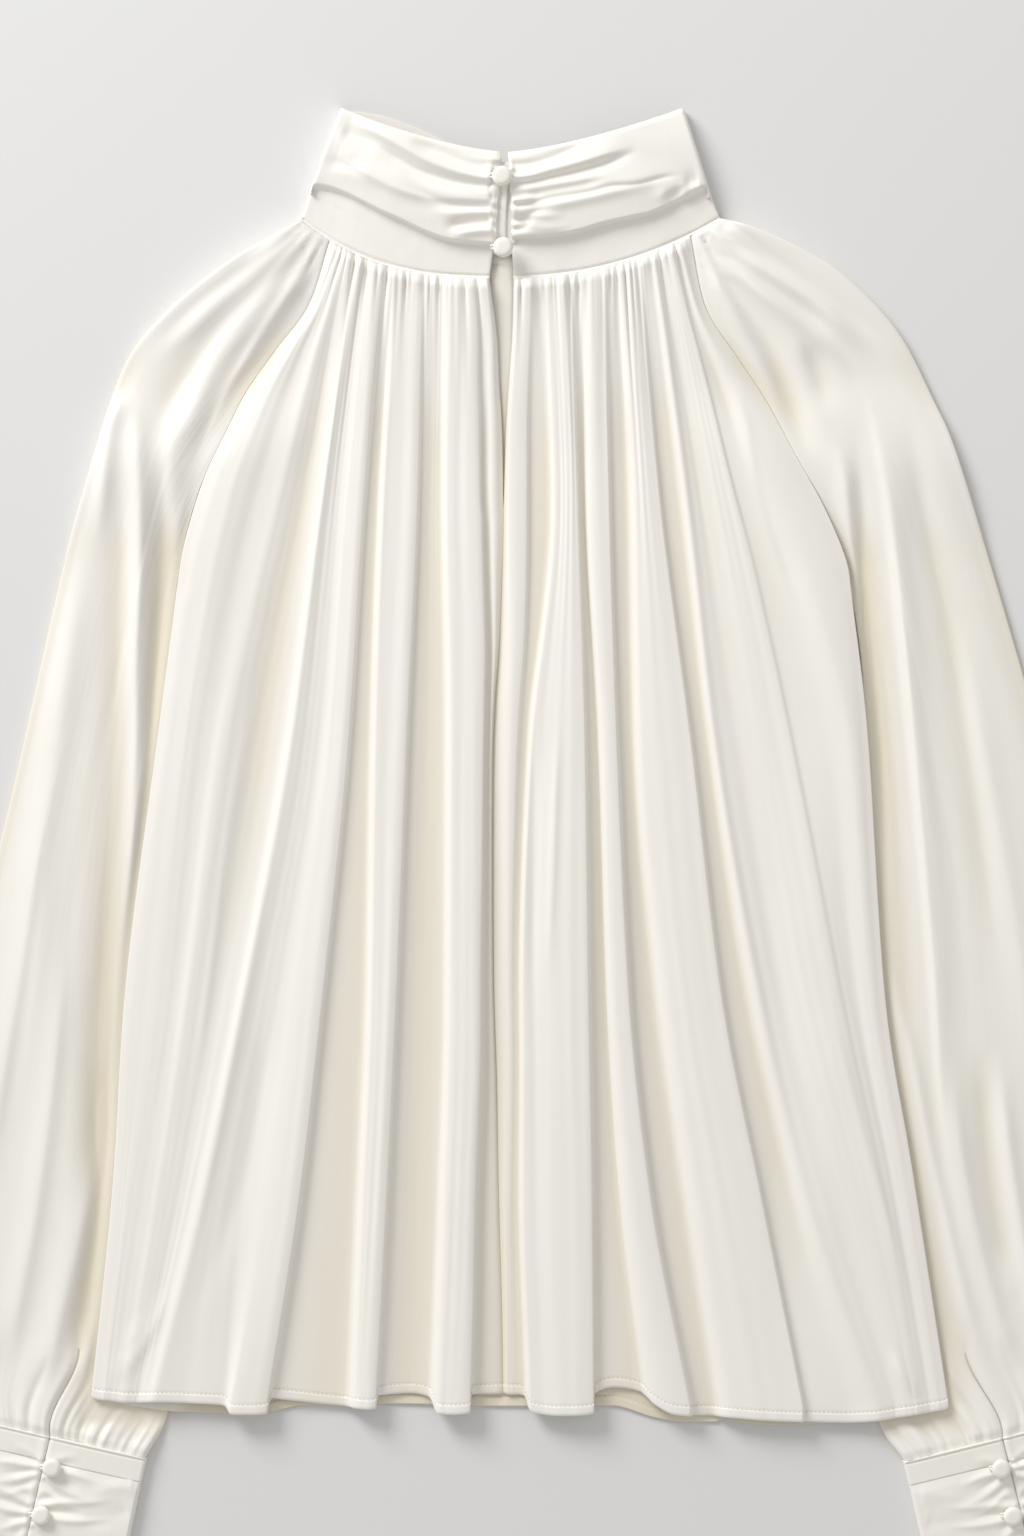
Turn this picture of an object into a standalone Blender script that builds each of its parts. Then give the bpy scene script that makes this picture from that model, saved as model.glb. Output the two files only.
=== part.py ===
"""High-neck satin blouse, laid flat with its back side up.

Sizes are in millimetres until a point is placed. Places are measured from the centre-back neck seam:
across to the wearer's side seams, and down to the hem. Heights are above the surface it lies on.
The left half is the left of the laid garment as it is seen from above, with the collar at the top.
"""

from collections import namedtuple

import bmesh
import bpy
import numpy as np

MM = 0.001
NAME = "pleated_blouse"

# Cloth and seams
WALL = 1.2
SEAM_GAP = 0.3
RAGLAN_GAP = 0.6  # across the raglan seam, which slants, so the edges lie SEAM_GAP apart
RIDGE_INSET = 0.7  # the inside of a fold's flank stands this much nearer to the fold's middle
FOLD_INSET = 1.32  # a flattened tube's inside ends this far short of its side folds

# Lengths down the back, from the neck seam
SLIT_LENGTH = 156.0
SLIT_HALF_WIDTH = 6.8
UNDERARM = -174.0
HEM = -614.0
HEM_DROP = 9.5  # a ridge's hem lies this much lower than a valley's
FRONT_HEM = -624.5
FRONT_HEM_WAVE = 2.5
FRONT_COLLAR_RISE = 6.0
FRONT_NECK_RISE = 8.0  # the front's neck seam lies this much higher at its middle than the back's

# Heights of the laid layers
FRONT_TOP = WALL
SLEEVE_STRIP_TOP = 2.5  # the two layers of a sleeve that lie under the body's side
BODY_LIFT = SLEEVE_STRIP_TOP + SEAM_GAP
LIFT_CLEARANCE = 0.4
HEM_CLEARANCE = 8.0  # the sleeve stays flat this far below the hem
FOLD_BULGE = 0.8  # a laid tube's side folds are rounded outwards by this much
NECK_TOP = 7.2
COLLAR_TOP = 15.0
COLLAR_EDGE_TOP = 10.0
CUFF_TOP = 7.0
SLEEVE_PUFF = 2.0  # the laid sleeve's fullness between its folds

# Folds of the back
NECK_NARROWING = 0.75  # a fold is narrower at the neck than at the chest
BROAD_FOLD = 12.0  # a fold this wide at the hem has a broad top with two edges
FLANK_SHARE = 0.22  # of a fold's width

# Gathers
NECK_GATHER = 1.3
NECK_GATHER_LENGTH = 62.0
CUFF_GATHER = 1.8
CUFF_GATHER_LENGTH = 30.0
SLEEVE_LENGTH = 620.0
GATHER_SPLIT = 3  # columns for each span of the plain sheet, four to a gather

# Neckband, collar and cuffs
BAND_UNDER_COLLAR = 5.0
BAND_BULGE = 1.6
COLLAR_BULGE = 2.4
COLLAR_GAP = 3.6
COLLAR_RUCHE = 1.4
COLLAR_PUCKERS = 5.5
COLLAR_FOLDS = 2.0
CUFF_BAND_DEPTH = 13.0
CUFF_DEPTH = 60.0
CUFF_SLIT_HALF_WIDTH = 0.9
CUFF_RUCHE = 1.2
CUFF_PUCKERS = 3.5
SLEEVE_SLIT_SHARE = 0.9  # how far down the sleeve its slit starts

# Covered buttons
NECK_BUTTON_RADIUS = 5.8
CUFF_BUTTON_RADIUS = 5.5
BUTTON_DOME = 4.6
BUTTON_RIM = 0.45  # of the radius, from the dome's middle down to its flat back
CUFF_BUTTON_DEPTHS = (15.6, 42.4)
CUFF_BUTTON_INWARD = 5.0  # from the slit towards the body
NECK_BUTTONS = (("upper", 0.0, 54.9), ("lower", 0.6, 16.0))

# The levels at which the folds of the back are measured, down from the neck seam
LEVELS = (0.0, -122.0, -254.0, -397.0, -507.0, -620.0)

# A fold of the back: its middle at each level, its width at the chest, the hips and the hem,
# and its height at the chest and the hem
Fold = namedtuple("Fold", "neck chest waist hips low hem wide_chest wide_hips wide_hem high_chest high_hem")

FOLDS_LEFT = (
    Fold(24, 22, 20, 21, 24, 27, 21, 20, 21, 5.5, 9.0),
    Fold(52, 56, 61, 65, 70, 76, 22, 15, 15, 5.0, 8.5),
    Fold(70, 80, 89, 105, 119, 139, 11, 14, 21, 4.5, 8.0),
    Fold(81, 99, 115, 142, 165, 192, 6, 7, 12, 4.5, 4.0),
    Fold(88, 125, 152, 172, 188, 207, 6, 7, 8, 3.0, 2.0),
    Fold(93, 152, 166, 186, 205, 217, 6, 8, 6, 3.0, 2.0),
)
FOLDS_RIGHT = (
    Fold(14, 9, 7, 8, 9, 9, 4, 4, 4, 3.0, 0.4),
    Fold(32, 35, 31, 29, 30, 32, 13, 30, 30, 5.5, 8.5),
    Fold(53, 53, 59, 66, 78, 96, 10, 12, 20, 4.5, 7.5),
    Fold(71, 82, 90, 105, 124, 147, 11, 30, 36, 4.5, 7.0),
    Fold(85, 102, 116, 141, 170, 206, 6, 9, 12, 4.0, 4.0),
    Fold(94, 129, 158, 180, 206, 226, 6, 9, 9, 4.0, 2.5),
    Fold(99, 150, 188, 201, 218, 237, 7, 8, 6, 3.0, 2.0),
)

# A soft fold of a sleeve: its distance out at six levels, its width and its height
SLEEVE_LEVELS = (-40.0, -122.0, -254.0, -397.0, -507.0, -600.0)
SleeveFold = namedtuple("SleeveFold", "shoulder chest elbow hips low wrist width height")

SLEEVE_FOLDS_LEFT = (
    SleeveFold(168, 200, 201, 207, 222, 226, 9, 4.5),
    SleeveFold(188, 224, 238, 247, 259, 252, 10, 3.5),
    SleeveFold(198, 230, 262, 286, 300, 280, 10, 4.0),
)
SLEEVE_FOLDS_RIGHT = (
    SleeveFold(176, 212, 228, 240, 252, 262, 9, 4.5),
    SleeveFold(196, 232, 256, 272, 282, 280, 10, 3.5),
    SleeveFold(210, 240, 278, 306, 322, 304, 10, 4.0),
)

# One half of the garment. Outlines are distances out from centre back and down from the neck seam.
Half = namedtuple(
    "Half",
    "side sign neck_reach neck_lift neck_power raglan flank shoulder inner_edge cuff_outer cuff_inner"
    " band_edge collar_low collar_curve collar_top collar_rise collar_reach folds sleeve_folds hem_slope",
)

LEFT = Half(
    side="left",
    sign=-1,
    neck_reach=110.8,
    neck_lift=32.3,
    neck_power=2.78,
    raglan=(94.6, (106.0, -14.0), (124.5, -39.0), (141.0, -62.7), (152.0, -84.7),
            (164.7, -112.0), (175.0, -146.7), (179.3, -174.0)),
    flank=((189.8, -254.0), (207.0, -387.0), (214.5, -501.0), (226.2, -616.0)),
    shoulder=((131.1, 20.5), (153.5, 7.0), (183.8, -17.7), (208.5, -50.3), (232.1, -124.3),
              (245.3, -177.0), (270.0, -287.0), (298.0, -400.0), (325.0, -520.0), (322.0, -585.0)),
    inner_edge=((181.6, -196.0), (183.0, -260.0), (183.5, -420.0), (183.0, -560.0), (184.5, -622.0)),
    cuff_outer=(300.5, -625.9),
    cuff_inner=(197.2, -649.6),
    band_edge=104.0,
    collar_low=15.7,
    collar_curve=0.0030,
    collar_top=69.3,
    collar_rise=0.0292,
    collar_reach=86.9,
    folds=FOLDS_LEFT,
    sleeve_folds=SLEEVE_FOLDS_LEFT,
    hem_slope=-2.0,
)
RIGHT = Half(
    side="right",
    sign=1,
    neck_reach=120.7,
    neck_lift=33.0,
    neck_power=2.2,
    raglan=(103.4, (112.0, -16.0), (129.0, -42.2), (145.2, -66.6), (161.7, -97.4),
            (177.0, -125.0), (189.4, -154.6), (192.6, -174.0)),
    flank=((201.6, -252.8), (211.2, -397.0), (226.1, -491.0), (245.9, -619.3)),
    shoulder=((143.0, 26.1), (165.5, 15.4), (187.9, 1.4), (217.1, -28.9), (237.3, -67.1),
              (251.9, -103.0), (287.1, -220.0), (320.7, -342.0), (350.0, -480.0), (353.0, -570.0)),
    inner_edge=((196.6, -196.0), (199.6, -225.0), (201.0, -270.0), (201.0, -420.0), (201.0, -560.0),
                (207.0, -625.0)),
    cuff_outer=(328.4, -625.1),
    cuff_inner=(222.5, -651.5),
    band_edge=112.6,
    collar_low=17.0,
    collar_curve=0.00222,
    collar_top=68.8,
    collar_rise=0.0250,
    collar_reach=98.1,
    folds=FOLDS_RIGHT,
    sleeve_folds=SLEEVE_FOLDS_RIGHT,
    hem_slope=-5.0,
)

# Rows of the back and of a sleeve, as shares of their length. The first ones are close for the gathers.
BODY_ROWS = (0, 0.007, 0.02, 0.04, 0.066, 0.11, 0.17, 0.24, 0.307, 0.4, 0.5, 0.6, 0.7, 0.8, 0.9, 1)
RAGLAN_ROWS = 8
FINE_BODY_ROWS = 4
SLEEVE_ROWS = (0, 0.045, 0.09, 0.15, 0.23, 0.35, 0.5, 0.65, 0.78, 0.87, 0.93, 0.97, 1)
FINE_SLEEVE_ROWS = 2
SLEEVE_NECK_SPANS = 4
SLEEVE_UNDER_STATIONS = (12, 10, 8, 7, 6, 5, 4, 3, 2, 1, 0)  # of the upper spans
FRONT_FLAT_SPANS = 5
FRONT_LIFT_STEPS = (16.0, 12.5, 9.5, 6.5, 3.0)  # before the sleeve's inner fold
FRONT_SIDE_SPANS = 2
NECK_SIDE_SPANS = 12
NECK_UNDER_SPANS = 4
COLLAR_ROWS = 7
CUFF_ROWS = 6
CUFF_SIDE_SPANS = 8
CUFF_UNDER_SPANS = 4


def step(low, high, value):
    """Goes smoothly from 0 at low to 1 at high."""
    share = np.clip((value - low) / (high - low), 0.0, 1.0)
    return share * share * (3.0 - 2.0 * share)


def smooth_path(points, per_span=10):
    """The points of a smooth curve through the given ones."""
    given = np.array(points, dtype=float)
    padded = np.vstack([2 * given[0] - given[1], given, 2 * given[-1] - given[-2]])
    share = np.linspace(0, 1, per_span, endpoint=False)[:, None]
    runs = []
    for before, start, end, after in zip(padded, padded[1:], padded[2:], padded[3:]):
        bend = 2 * before - 5 * start + 4 * end - after
        twist = 3 * start - before - 3 * end + after
        runs.append(0.5 * (2 * start + (end - before) * share + bend * share**2 + twist * share**3))
    return np.vstack(runs + [given[-1:]])


def along(path, share):
    """The point at a share of a path's length."""
    lengths = np.r_[0, np.cumsum(np.linalg.norm(np.diff(path, axis=0), axis=1))]
    return np.array([np.interp(share * lengths[-1], lengths, column) for column in path.T])


def place(half, out, down, height):
    """A point of one half, in metres."""
    return (half.sign * out * MM, down * MM, height * MM)


def neck_seam(half, out):
    """How far up the neck seam lies, at a distance out from centre back."""
    return half.neck_lift * (np.clip(out, 0, None) / half.neck_reach) ** half.neck_power


def collar_low_edge(half, out):
    return half.collar_low + half.collar_curve * out**2


def collar_top_edge(half, out):
    return half.collar_top + half.collar_rise * abs(out) ** 1.5


def centre_back(down):
    """Half the width of the slit, which closes at the top of the centre-back seam."""
    open_share = np.clip(1 + down / SLIT_LENGTH, 0, 1)
    return SEAM_GAP / 2 + SLIT_HALF_WIDTH * np.minimum(open_share, 1) ** 1.1


def raglan_stations(half):
    """The raglan seam's points from the neck to the underarm. The back and the sleeve share them."""
    start = half.raglan[0]
    path = smooth_path([(start, neck_seam(half, start)), *half.raglan[1:]])
    top, bottom = path[0, 1], half.flank[-1][1]
    downs = [top + share * (bottom - top) for share in BODY_ROWS[: RAGLAN_ROWS + 1]]
    return np.array([(np.interp(-down, -path[:, 1], path[:, 0]), down) for down in downs])


def body_outline(half):
    """The raglan seam and the side seam as one line from the neck to the hem."""
    stations = raglan_stations(half)
    side = smooth_path([tuple(stations[-1]), *half.flank])
    return np.vstack([stations, side[1:]])


OUTLINES = {half.side: body_outline(half) for half in (LEFT, RIGHT)}
INNER_FOLDS = {
    half.side: smooth_path([half.raglan[-1], *half.inner_edge, half.cuff_inner]) for half in (LEFT, RIGHT)
}


def body_edge(half, down):
    """The distance out to the raglan seam, or below the underarm to the side seam."""
    outline = OUTLINES[half.side]
    return float(np.interp(-down, -outline[:, 1], outline[:, 0]))


def strip_line(half, down):
    """The distance out to the sleeve's inner fold under the body, or above it to the raglan seam."""
    if down > UNDERARM:
        return body_edge(half, down)
    fold = INNER_FOLDS[half.side]
    return min(float(np.interp(-down, -fold[:, 1], fold[:, 0])), body_edge(half, down))


def seam_side_gap(down):
    """The gap along the raglan seam, measured across. The side seam below it needs none."""
    return RAGLAN_GAP * step(UNDERARM - 25, UNDERARM, down)


def front_lift(half, out, down):
    """How much the front rises where it lies on the sleeve's inner strip."""
    line = strip_line(half, down)
    sideways = step(line - FRONT_LIFT_STEPS[0], line - FRONT_LIFT_STEPS[-1], out)
    return BODY_LIFT * sideways * step(-110, -165, down)


def back_lift(half, out, down):
    """How much the back rises over the front there. It starts sooner, so it stays clear."""
    line = strip_line(half, down)
    return (BODY_LIFT + LIFT_CLEARANCE) * step(line - 55, line - 17, out) * step(-50, -105, down)


def neck_rise(half, out, down):
    """How much the upper layer rises towards the neckband."""
    below = neck_seam(half, out) - down
    return (NECK_TOP - 2 * WALL - SEAM_GAP) * step(105, 0, below)


def back_floor(half, out, down):
    """The height of the back's underside between its folds."""
    return FRONT_TOP + SEAM_GAP + neck_rise(half, out, down) + back_lift(half, out, down)


def fold_lines(half):
    """The lines that the back's columns follow, from centre back outwards.

    Each has its distance out at every level, its share of the fold's height, the fold's heights
    and the side of the fold that it is on.
    """
    lines = []
    for fold in half.folds:
        middles = np.array(fold[: len(LEVELS)], dtype=float)
        widths = (fold.wide_chest * NECK_NARROWING, fold.wide_chest, fold.wide_hips, fold.wide_hem)
        wide = np.interp(range(len(LEVELS)), (0, 1, 3, 5), widths)
        flank = np.clip(wide * FLANK_SHARE, 1.2, 3.2)
        if fold.wide_hem > BROAD_FOLD:
            profile = ((-1, 1, 0), (-1, -1, 0.9), (0, 0, 1), (1, -1, 0.95), (1, 1, 0))
        else:
            profile = ((-1, 1.6, 0), (0, 0, 1), (1, 1.6, 0))
        for side, outward, share in profile:
            outs = middles + side * (wide / 2 + outward * flank)
            lines.append((outs, share, (fold.high_chest, fold.high_hem), side if share < 1 else 0))
    return lines


def body_columns(half):
    """The columns as shares of the width at each level, and what each carries."""
    lines = fold_lines(half)
    edges = np.array([body_edge(half, down) for down in LEVELS])
    gaps = np.array([centre_back(down) for down in LEVELS])
    shares = np.array([(outs - gaps) / (edges - gaps) for outs, *_ in lines])
    shares = np.vstack([np.zeros(len(LEVELS)), shares, np.ones(len(LEVELS))])
    count = len(shares)
    shares[:, 0] = (shares[:, 0] + np.linspace(0, 1, count)) / 2
    room = 0.45 / count
    for column in range(1, count - 1):
        shares[column] = np.maximum(shares[column], shares[column - 1] + room)
    for column in range(count - 2, 0, -1):
        shares[column] = np.minimum(shares[column], shares[column + 1] - room)
    high_chest = np.array([0] + [share * heights[0] for _, share, heights, _ in lines] + [0])
    high_hem = np.array([0] + [share * heights[1] for _, share, heights, _ in lines] + [0])
    inset = np.array([0] + [-side for *_, side in lines] + [0])
    return shares, high_chest, high_hem, inset


def body_point(half, columns, across, down_share):
    """A place on the back: its distance out, how far down, the fold's height and the flank's inset."""
    shares, high_chest, high_hem, inset = columns
    index = across * (len(shares) - 1)
    numbers = np.arange(len(shares))

    def at(values):
        return float(np.interp(index, numbers, values))

    hem_high = at(high_hem)
    hem = HEM + half.hem_slope * across - HEM_DROP * min(hem_high / 6.0, 1.0) * (1 - step(0.9, 1.0, across))
    down = 0.0
    out = 0.0
    for _ in range(6):
        level_shares = [at(shares[:, level]) for level in range(len(LEVELS))]
        share = np.interp(-down, [-level for level in LEVELS], level_shares)
        gap = centre_back(down)
        edge = body_edge(half, down) - seam_side_gap(down)
        out = gap + share * (edge - gap)
        top = neck_seam(half, gap + at(shares[:, 0]) * (half.raglan[0] - gap))
        down = neck_seam(half, out) if down_share == 0 else top + down_share * (hem - top)
    chest_share = step(-4, -110, down)
    fold_height = np.interp(-down, (122, 620), (at(high_chest), hem_high)) * (0.12 + 0.88 * chest_share)
    near_seam = step(0, 0.07, 1 - across) if down > UNDERARM else step(0, 0.03, 1 - across)
    return out, down, fold_height * near_seam, at(inset) * chest_share


def build_object(name, form, material):
    """Makes an object of a closed mesh, in the garment's own collection."""
    bmesh.ops.recalc_face_normals(form, faces=form.faces)
    bmesh.ops.triangulate(form, faces=[face for face in form.faces if len(face.verts) > 4])
    mesh = bpy.data.meshes.new(name)
    form.to_mesh(mesh)
    form.free()
    mesh.shade_smooth()
    mesh.set_sharp_from_angle(angle=0.9)
    mesh.materials.append(material)
    piece = bpy.data.objects.new(name, mesh)
    bpy.data.collections[NAME].objects.link(piece)
    return piece


def sheet(name, material, spans, rows, outer, inner, fine=()):
    """A wall of cloth: a grid laid on its outer points, then extruded to its inner ones.

    outer and inner give a point for the place across and down, both from 0 to 1. Points that meet
    are joined, so a tube closes where its first and last columns lie together. Each fine area is
    "across" or "down", its low and high place on the other axis, and its cuts for each edge.
    """
    form = bmesh.new()
    bmesh.ops.create_grid(form, x_segments=spans, y_segments=rows, size=0.5)
    for direction, low, high, cuts in fine:
        other = 1 if direction == "across" else 0
        chosen = []
        for edge in form.edges:
            start, end = edge.verts[0].co, edge.verts[1].co
            where = start[other] + 0.5 if other == 0 else 0.5 - start[other]
            if abs(start[other] - end[other]) < 1e-4 and low - 1e-4 <= where <= high + 1e-4:
                chosen.append(edge)
        bmesh.ops.subdivide_edges(form, edges=chosen, cuts=cuts)
    across = form.verts.layers.float.new("across")
    down = form.verts.layers.float.new("down")
    for vert in form.verts:
        vert[across] = vert.co.x + 0.5
        vert[down] = 0.5 - vert.co.y
        vert.co = outer(vert[across], vert[down])
    bmesh.ops.remove_doubles(form, verts=form.verts, dist=1e-6)
    extruded = bmesh.ops.extrude_face_region(form, geom=form.faces[:])
    for vert in extruded["geom"]:
        if isinstance(vert, bmesh.types.BMVert):
            vert.co = inner(vert[across], vert[down])
    return build_object(name, form, material)


def satin(name, colour):
    """Ivory satin: a cloth with a soft sheen."""
    material = bpy.data.materials.new(name)
    material.use_nodes = True
    shader = material.node_tree.nodes["Principled BSDF"]
    shader.inputs["Base Color"].default_value = (*colour, 1)
    shader.inputs["Roughness"].default_value = 0.38
    shader.inputs["Metallic"].default_value = 0
    return material


def make_back(half, material):
    """One half of the back, from the neckband to the hem."""
    columns = body_columns(half)
    spans = len(columns[0]) - 1
    gathers = spans * GATHER_SPLIT / 4

    def surface(across, row, is_inside):
        down_share = np.interp(row * (len(BODY_ROWS) - 1), range(len(BODY_ROWS)), BODY_ROWS)
        out, down, fold, inset = body_point(half, columns, across, down_share)
        below = neck_seam(half, out) - down
        floor = back_floor(half, out, down)
        gather = 0.5 - 0.5 * np.cos(2 * np.pi * gathers * across)
        gather *= NECK_GATHER * step(NECK_GATHER_LENGTH, 0, below)
        if is_inside:
            out += inset * RIDGE_INSET * min(fold / 5.0, 1.0)
            return place(half, out, down, floor + fold)
        return place(half, out, down, floor + fold + WALL + gather)

    return sheet(
        f"back_{half.side}",
        material,
        spans,
        len(BODY_ROWS) - 1,
        lambda across, down: surface(across, down, False),
        lambda across, down: surface(across, down, True),
        fine=[("across", 0, FINE_BODY_ROWS / (len(BODY_ROWS) - 1), GATHER_SPLIT - 1)],
    )


def front_point(across, row):
    """A place on the front, from its left edge to its right one and from its neck seam to its hem."""
    half = LEFT if across < 0.5 else RIGHT
    side_spans = FRONT_FLAT_SPANS + len(FRONT_LIFT_STEPS) - 1 + FRONT_SIDE_SPANS
    column = round(abs(2 * across - 1) * side_spans)
    share = column / side_spans
    down_share = BODY_ROWS[round(row * (len(BODY_ROWS) - 1))]
    top = neck_seam(half, share * half.raglan[0]) + FRONT_NECK_RISE * (1 - share**2)
    wave = FRONT_HEM_WAVE * np.sin(9.0 * share + half.sign)
    to_side = step(0.75, 1, share)
    hem = (FRONT_HEM + wave) * (1 - to_side) + half.flank[-1][1] * to_side
    down = top + down_share * (hem - top)
    edge = body_edge(half, down) - seam_side_gap(down)
    line = min(strip_line(half, down), edge - 1.0)
    if column < FRONT_FLAT_SPANS:
        out = (line - FRONT_LIFT_STEPS[0]) * column / FRONT_FLAT_SPANS
    elif column < FRONT_FLAT_SPANS + len(FRONT_LIFT_STEPS):
        out = line - FRONT_LIFT_STEPS[column - FRONT_FLAT_SPANS]
    else:
        start = line - FRONT_LIFT_STEPS[-1]
        out = start + (edge - start) * (column - side_spans + FRONT_SIDE_SPANS) / FRONT_SIDE_SPANS
    return half, out, down


def make_front(material):
    """The front, which lies lowest and rises over the sleeves' inner strips."""

    def surface(across, row, thickness):
        half, out, down = front_point(across, row)
        return place(half, out, down, front_lift(half, out, down) + thickness)

    return sheet(
        "front",
        material,
        2 * (FRONT_FLAT_SPANS + len(FRONT_LIFT_STEPS) - 1 + FRONT_SIDE_SPANS),
        len(BODY_ROWS) - 1,
        lambda across, row: surface(across, row, FRONT_TOP),
        lambda across, row: surface(across, row, 0.0),
    )


def sleeve_patch(half):
    """The four edges of a laid sleeve: raglan seam with neck, outer fold, inner fold and cuff seam."""
    stations = raglan_stations(half)[::-1]
    shoulder_tip = (half.neck_reach, neck_seam(half, half.neck_reach))
    outs = np.linspace(stations[-1][0], half.neck_reach, SLEEVE_NECK_SPANS + 1)
    top = np.vstack([stations, [(out, neck_seam(half, out)) for out in outs[1:]]])
    outer = smooth_path([shoulder_tip, *half.shoulder, half.cuff_outer])
    return top, outer, INNER_FOLDS[half.side]


def sleeve_place(half, patch, across, share):
    """A place on the laid sleeve, from its inner fold at 0 to its outer fold at 1."""
    top, outer, inner = patch
    lengths = np.r_[0, np.cumsum(np.linalg.norm(np.diff(top, axis=0), axis=1))]
    length_share = np.interp(across, np.linspace(0, 1, len(top)), lengths / lengths[-1])
    ring = along(top, length_share)
    chord = (1 - length_share) * top[0] + length_share * top[-1]
    blend = (1 - share) * length_share + share * across
    sides = (1 - blend) * along(inner, share) + blend * along(outer, share)
    out, down = sides + (1 - share) * (ring - chord)
    if down > UNDERARM:
        out = max(out, body_edge(half, down) + share)
    return np.array([out, down])


def beyond_body(half, out, down):
    """How far a place on the sleeve lies outside the body's side or below its hem."""
    return max(out - body_edge(half, down), HEM - HEM_DROP - HEM_CLEARANCE - down)


def sleeve_height(half, out, down, share):
    """The top of the laid sleeve: flat under the body, full beyond it, gathered to the cuff."""
    beyond = beyond_body(half, out, down)
    seam = back_floor(half, body_edge(half, down), down) + WALL
    low = SLEEVE_STRIP_TOP + (seam - SLEEVE_STRIP_TOP) * step(UNDERARM + 15, UNDERARM + 75, down)
    puff = SLEEVE_PUFF
    for fold in half.sleeve_folds:
        middle = np.interp(-down, [-level for level in SLEEVE_LEVELS], fold[:6])
        puff += fold.height * np.exp(-(((out - middle) / fold.width) ** 2))
    full = step(10, 32, beyond) * step(0, 0.06, share)
    to_cuff = step(0.93, 1, share)
    at_cuff = (CUFF_TOP - CUFF_GATHER - low) * step(6, 14, beyond)
    return low + puff * full * (1 - to_cuff) + at_cuff * to_cuff


def make_sleeve(half, material):
    """A raglan sleeve: one closed wall round its flattened hollow, with a slit above the cuff."""
    patch = sleeve_patch(half)
    side_spans = len(patch[0]) - 1
    top_spans = 2 * side_spans
    ring = tube_stations(side_spans, [station / side_spans for station in SLEEVE_UNDER_STATIONS])
    spans = len(ring) - 1
    rows = len(SLEEVE_ROWS) - 1
    gathers = top_spans * GATHER_SPLIT / 4

    def ring_at(around):
        index = around * spans
        low = int(min(np.floor(index + 1e-6), spans - 1))
        share = index - low
        return ring[low], ring[low + 1], share

    def ring_point(station, row, is_inside, slit_side):
        across, layer = station
        share = np.interp(row * rows, range(rows + 1), SLEEVE_ROWS)
        _, cuff_line, _, _ = cuff_frame(half)
        out, down = sleeve_place(half, patch, across, share)
        if is_inside:
            outer_side, inner_side = (sleeve_place(half, patch, end, share) for end in (1.0, 0.0))
            width = np.linalg.norm(outer_side - inner_side)
            outer_inset = FOLD_INSET * (0.25 + 0.75 * step(0, SLEEVE_ROWS[1], share))
            out, down = sleeve_place(half, patch, across * (1 - outer_inset / width), share)
            out += FOLD_INSET * (1 - across)
            down += FOLD_INSET * (1 - across) * cuff_line[1] / cuff_line[0] * step(0.7, 1, share)
        top = sleeve_height(half, out, down, share)
        if layer == "top":
            near_cuff = step(1 - CUFF_GATHER_LENGTH / SLEEVE_LENGTH, 1, share)
            wave = 0.5 - 0.5 * np.cos(2 * np.pi * gathers * across)
            clear = step(6, 14, beyond_body(half, out, down))
            height = top + (0 if is_inside else CUFF_GATHER * wave * near_cuff * clear)
            height -= WALL if is_inside else 0
        elif layer == "under":
            height = WALL if is_inside else 0.0
        else:
            height = top / 2
        slit_open = step(SLEEVE_SLIT_SHARE, SLEEVE_SLIT_SHARE + 0.04, share)
        parted = slit_side * CUFF_SLIT_HALF_WIDTH * slit_open
        if layer == "edge" and not is_inside:
            parted += FOLD_BULGE * (1 if across > 0.5 else -1) * step(0, 0.05, share)
        return np.array([out + parted * cuff_line[0], down + parted * cuff_line[1], height])

    def surface(around, row, is_inside):
        low, high, share = ring_at(around)
        slit_side = 1 if around < 1e-6 else -1 if around > 1 - 1e-6 else 0
        if share < 1e-5:
            point = ring_point(low, row, is_inside, slit_side)
        elif share > 1 - 1e-5:
            point = ring_point(high, row, is_inside, slit_side)
        elif low[1] == high[1] == "top":
            middle = (low[0] + share * (high[0] - low[0]), "top")
            point = ring_point(middle, row, is_inside, slit_side)
        else:
            start = ring_point(low, row, is_inside, 0)
            point = start + share * (ring_point(high, row, is_inside, 0) - start)
        return place(half, *point)

    return sheet(
        f"sleeve_{half.side}",
        material,
        spans,
        rows,
        lambda around, row: surface(around, row, False),
        lambda around, row: surface(around, row, True),
        fine=[("across", 1 - FINE_SLEEVE_ROWS / rows, 1, GATHER_SPLIT - 1)],
    )


def neck_stations():
    """The places round the neck opening: half, share out to the side fold, and layer."""
    ring = []
    for half in (LEFT, RIGHT):
        one = [(half, number / NECK_SIDE_SPANS, "top") for number in range(NECK_SIDE_SPANS + 1)]
        one.append((half, 1.0, "edge"))
        one += [(half, 1 - number / NECK_UNDER_SPANS, "under") for number in range(NECK_UNDER_SPANS + 1)]
        ring += one if half is LEFT else one[::-1][1:]
    return ring


def ring_sheet(name, material, stations, rows, point, fine=()):
    """A flattened band through stations round it. point(station, share up, is_inside) places one."""
    spans = len(stations) - 1

    def surface(around, row, is_inside):
        index = round(around * spans, 5)
        low = int(min(np.floor(index), spans - 1))
        share = index - low
        start = np.array(point(stations[low], row, is_inside))
        if share == 0:
            return tuple(start)
        return tuple(start + share * (np.array(point(stations[low + 1], row, is_inside)) - start))

    return sheet(
        name,
        material,
        spans,
        rows,
        lambda around, row: surface(around, row, False),
        lambda around, row: surface(around, row, True),
        fine=fine,
    )


def neck_out(station, gap, reach, is_inside, bulge):
    """The distance out of a place round the neckband or the collar."""
    _, share, layer = station
    if layer == "top":
        start, end = gap, reach - (FOLD_INSET if is_inside else 0)
        return start + share * (end - start)
    if is_inside:
        return share * (reach - FOLD_INSET)
    return share * reach + (bulge if layer == "edge" else 0)


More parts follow.
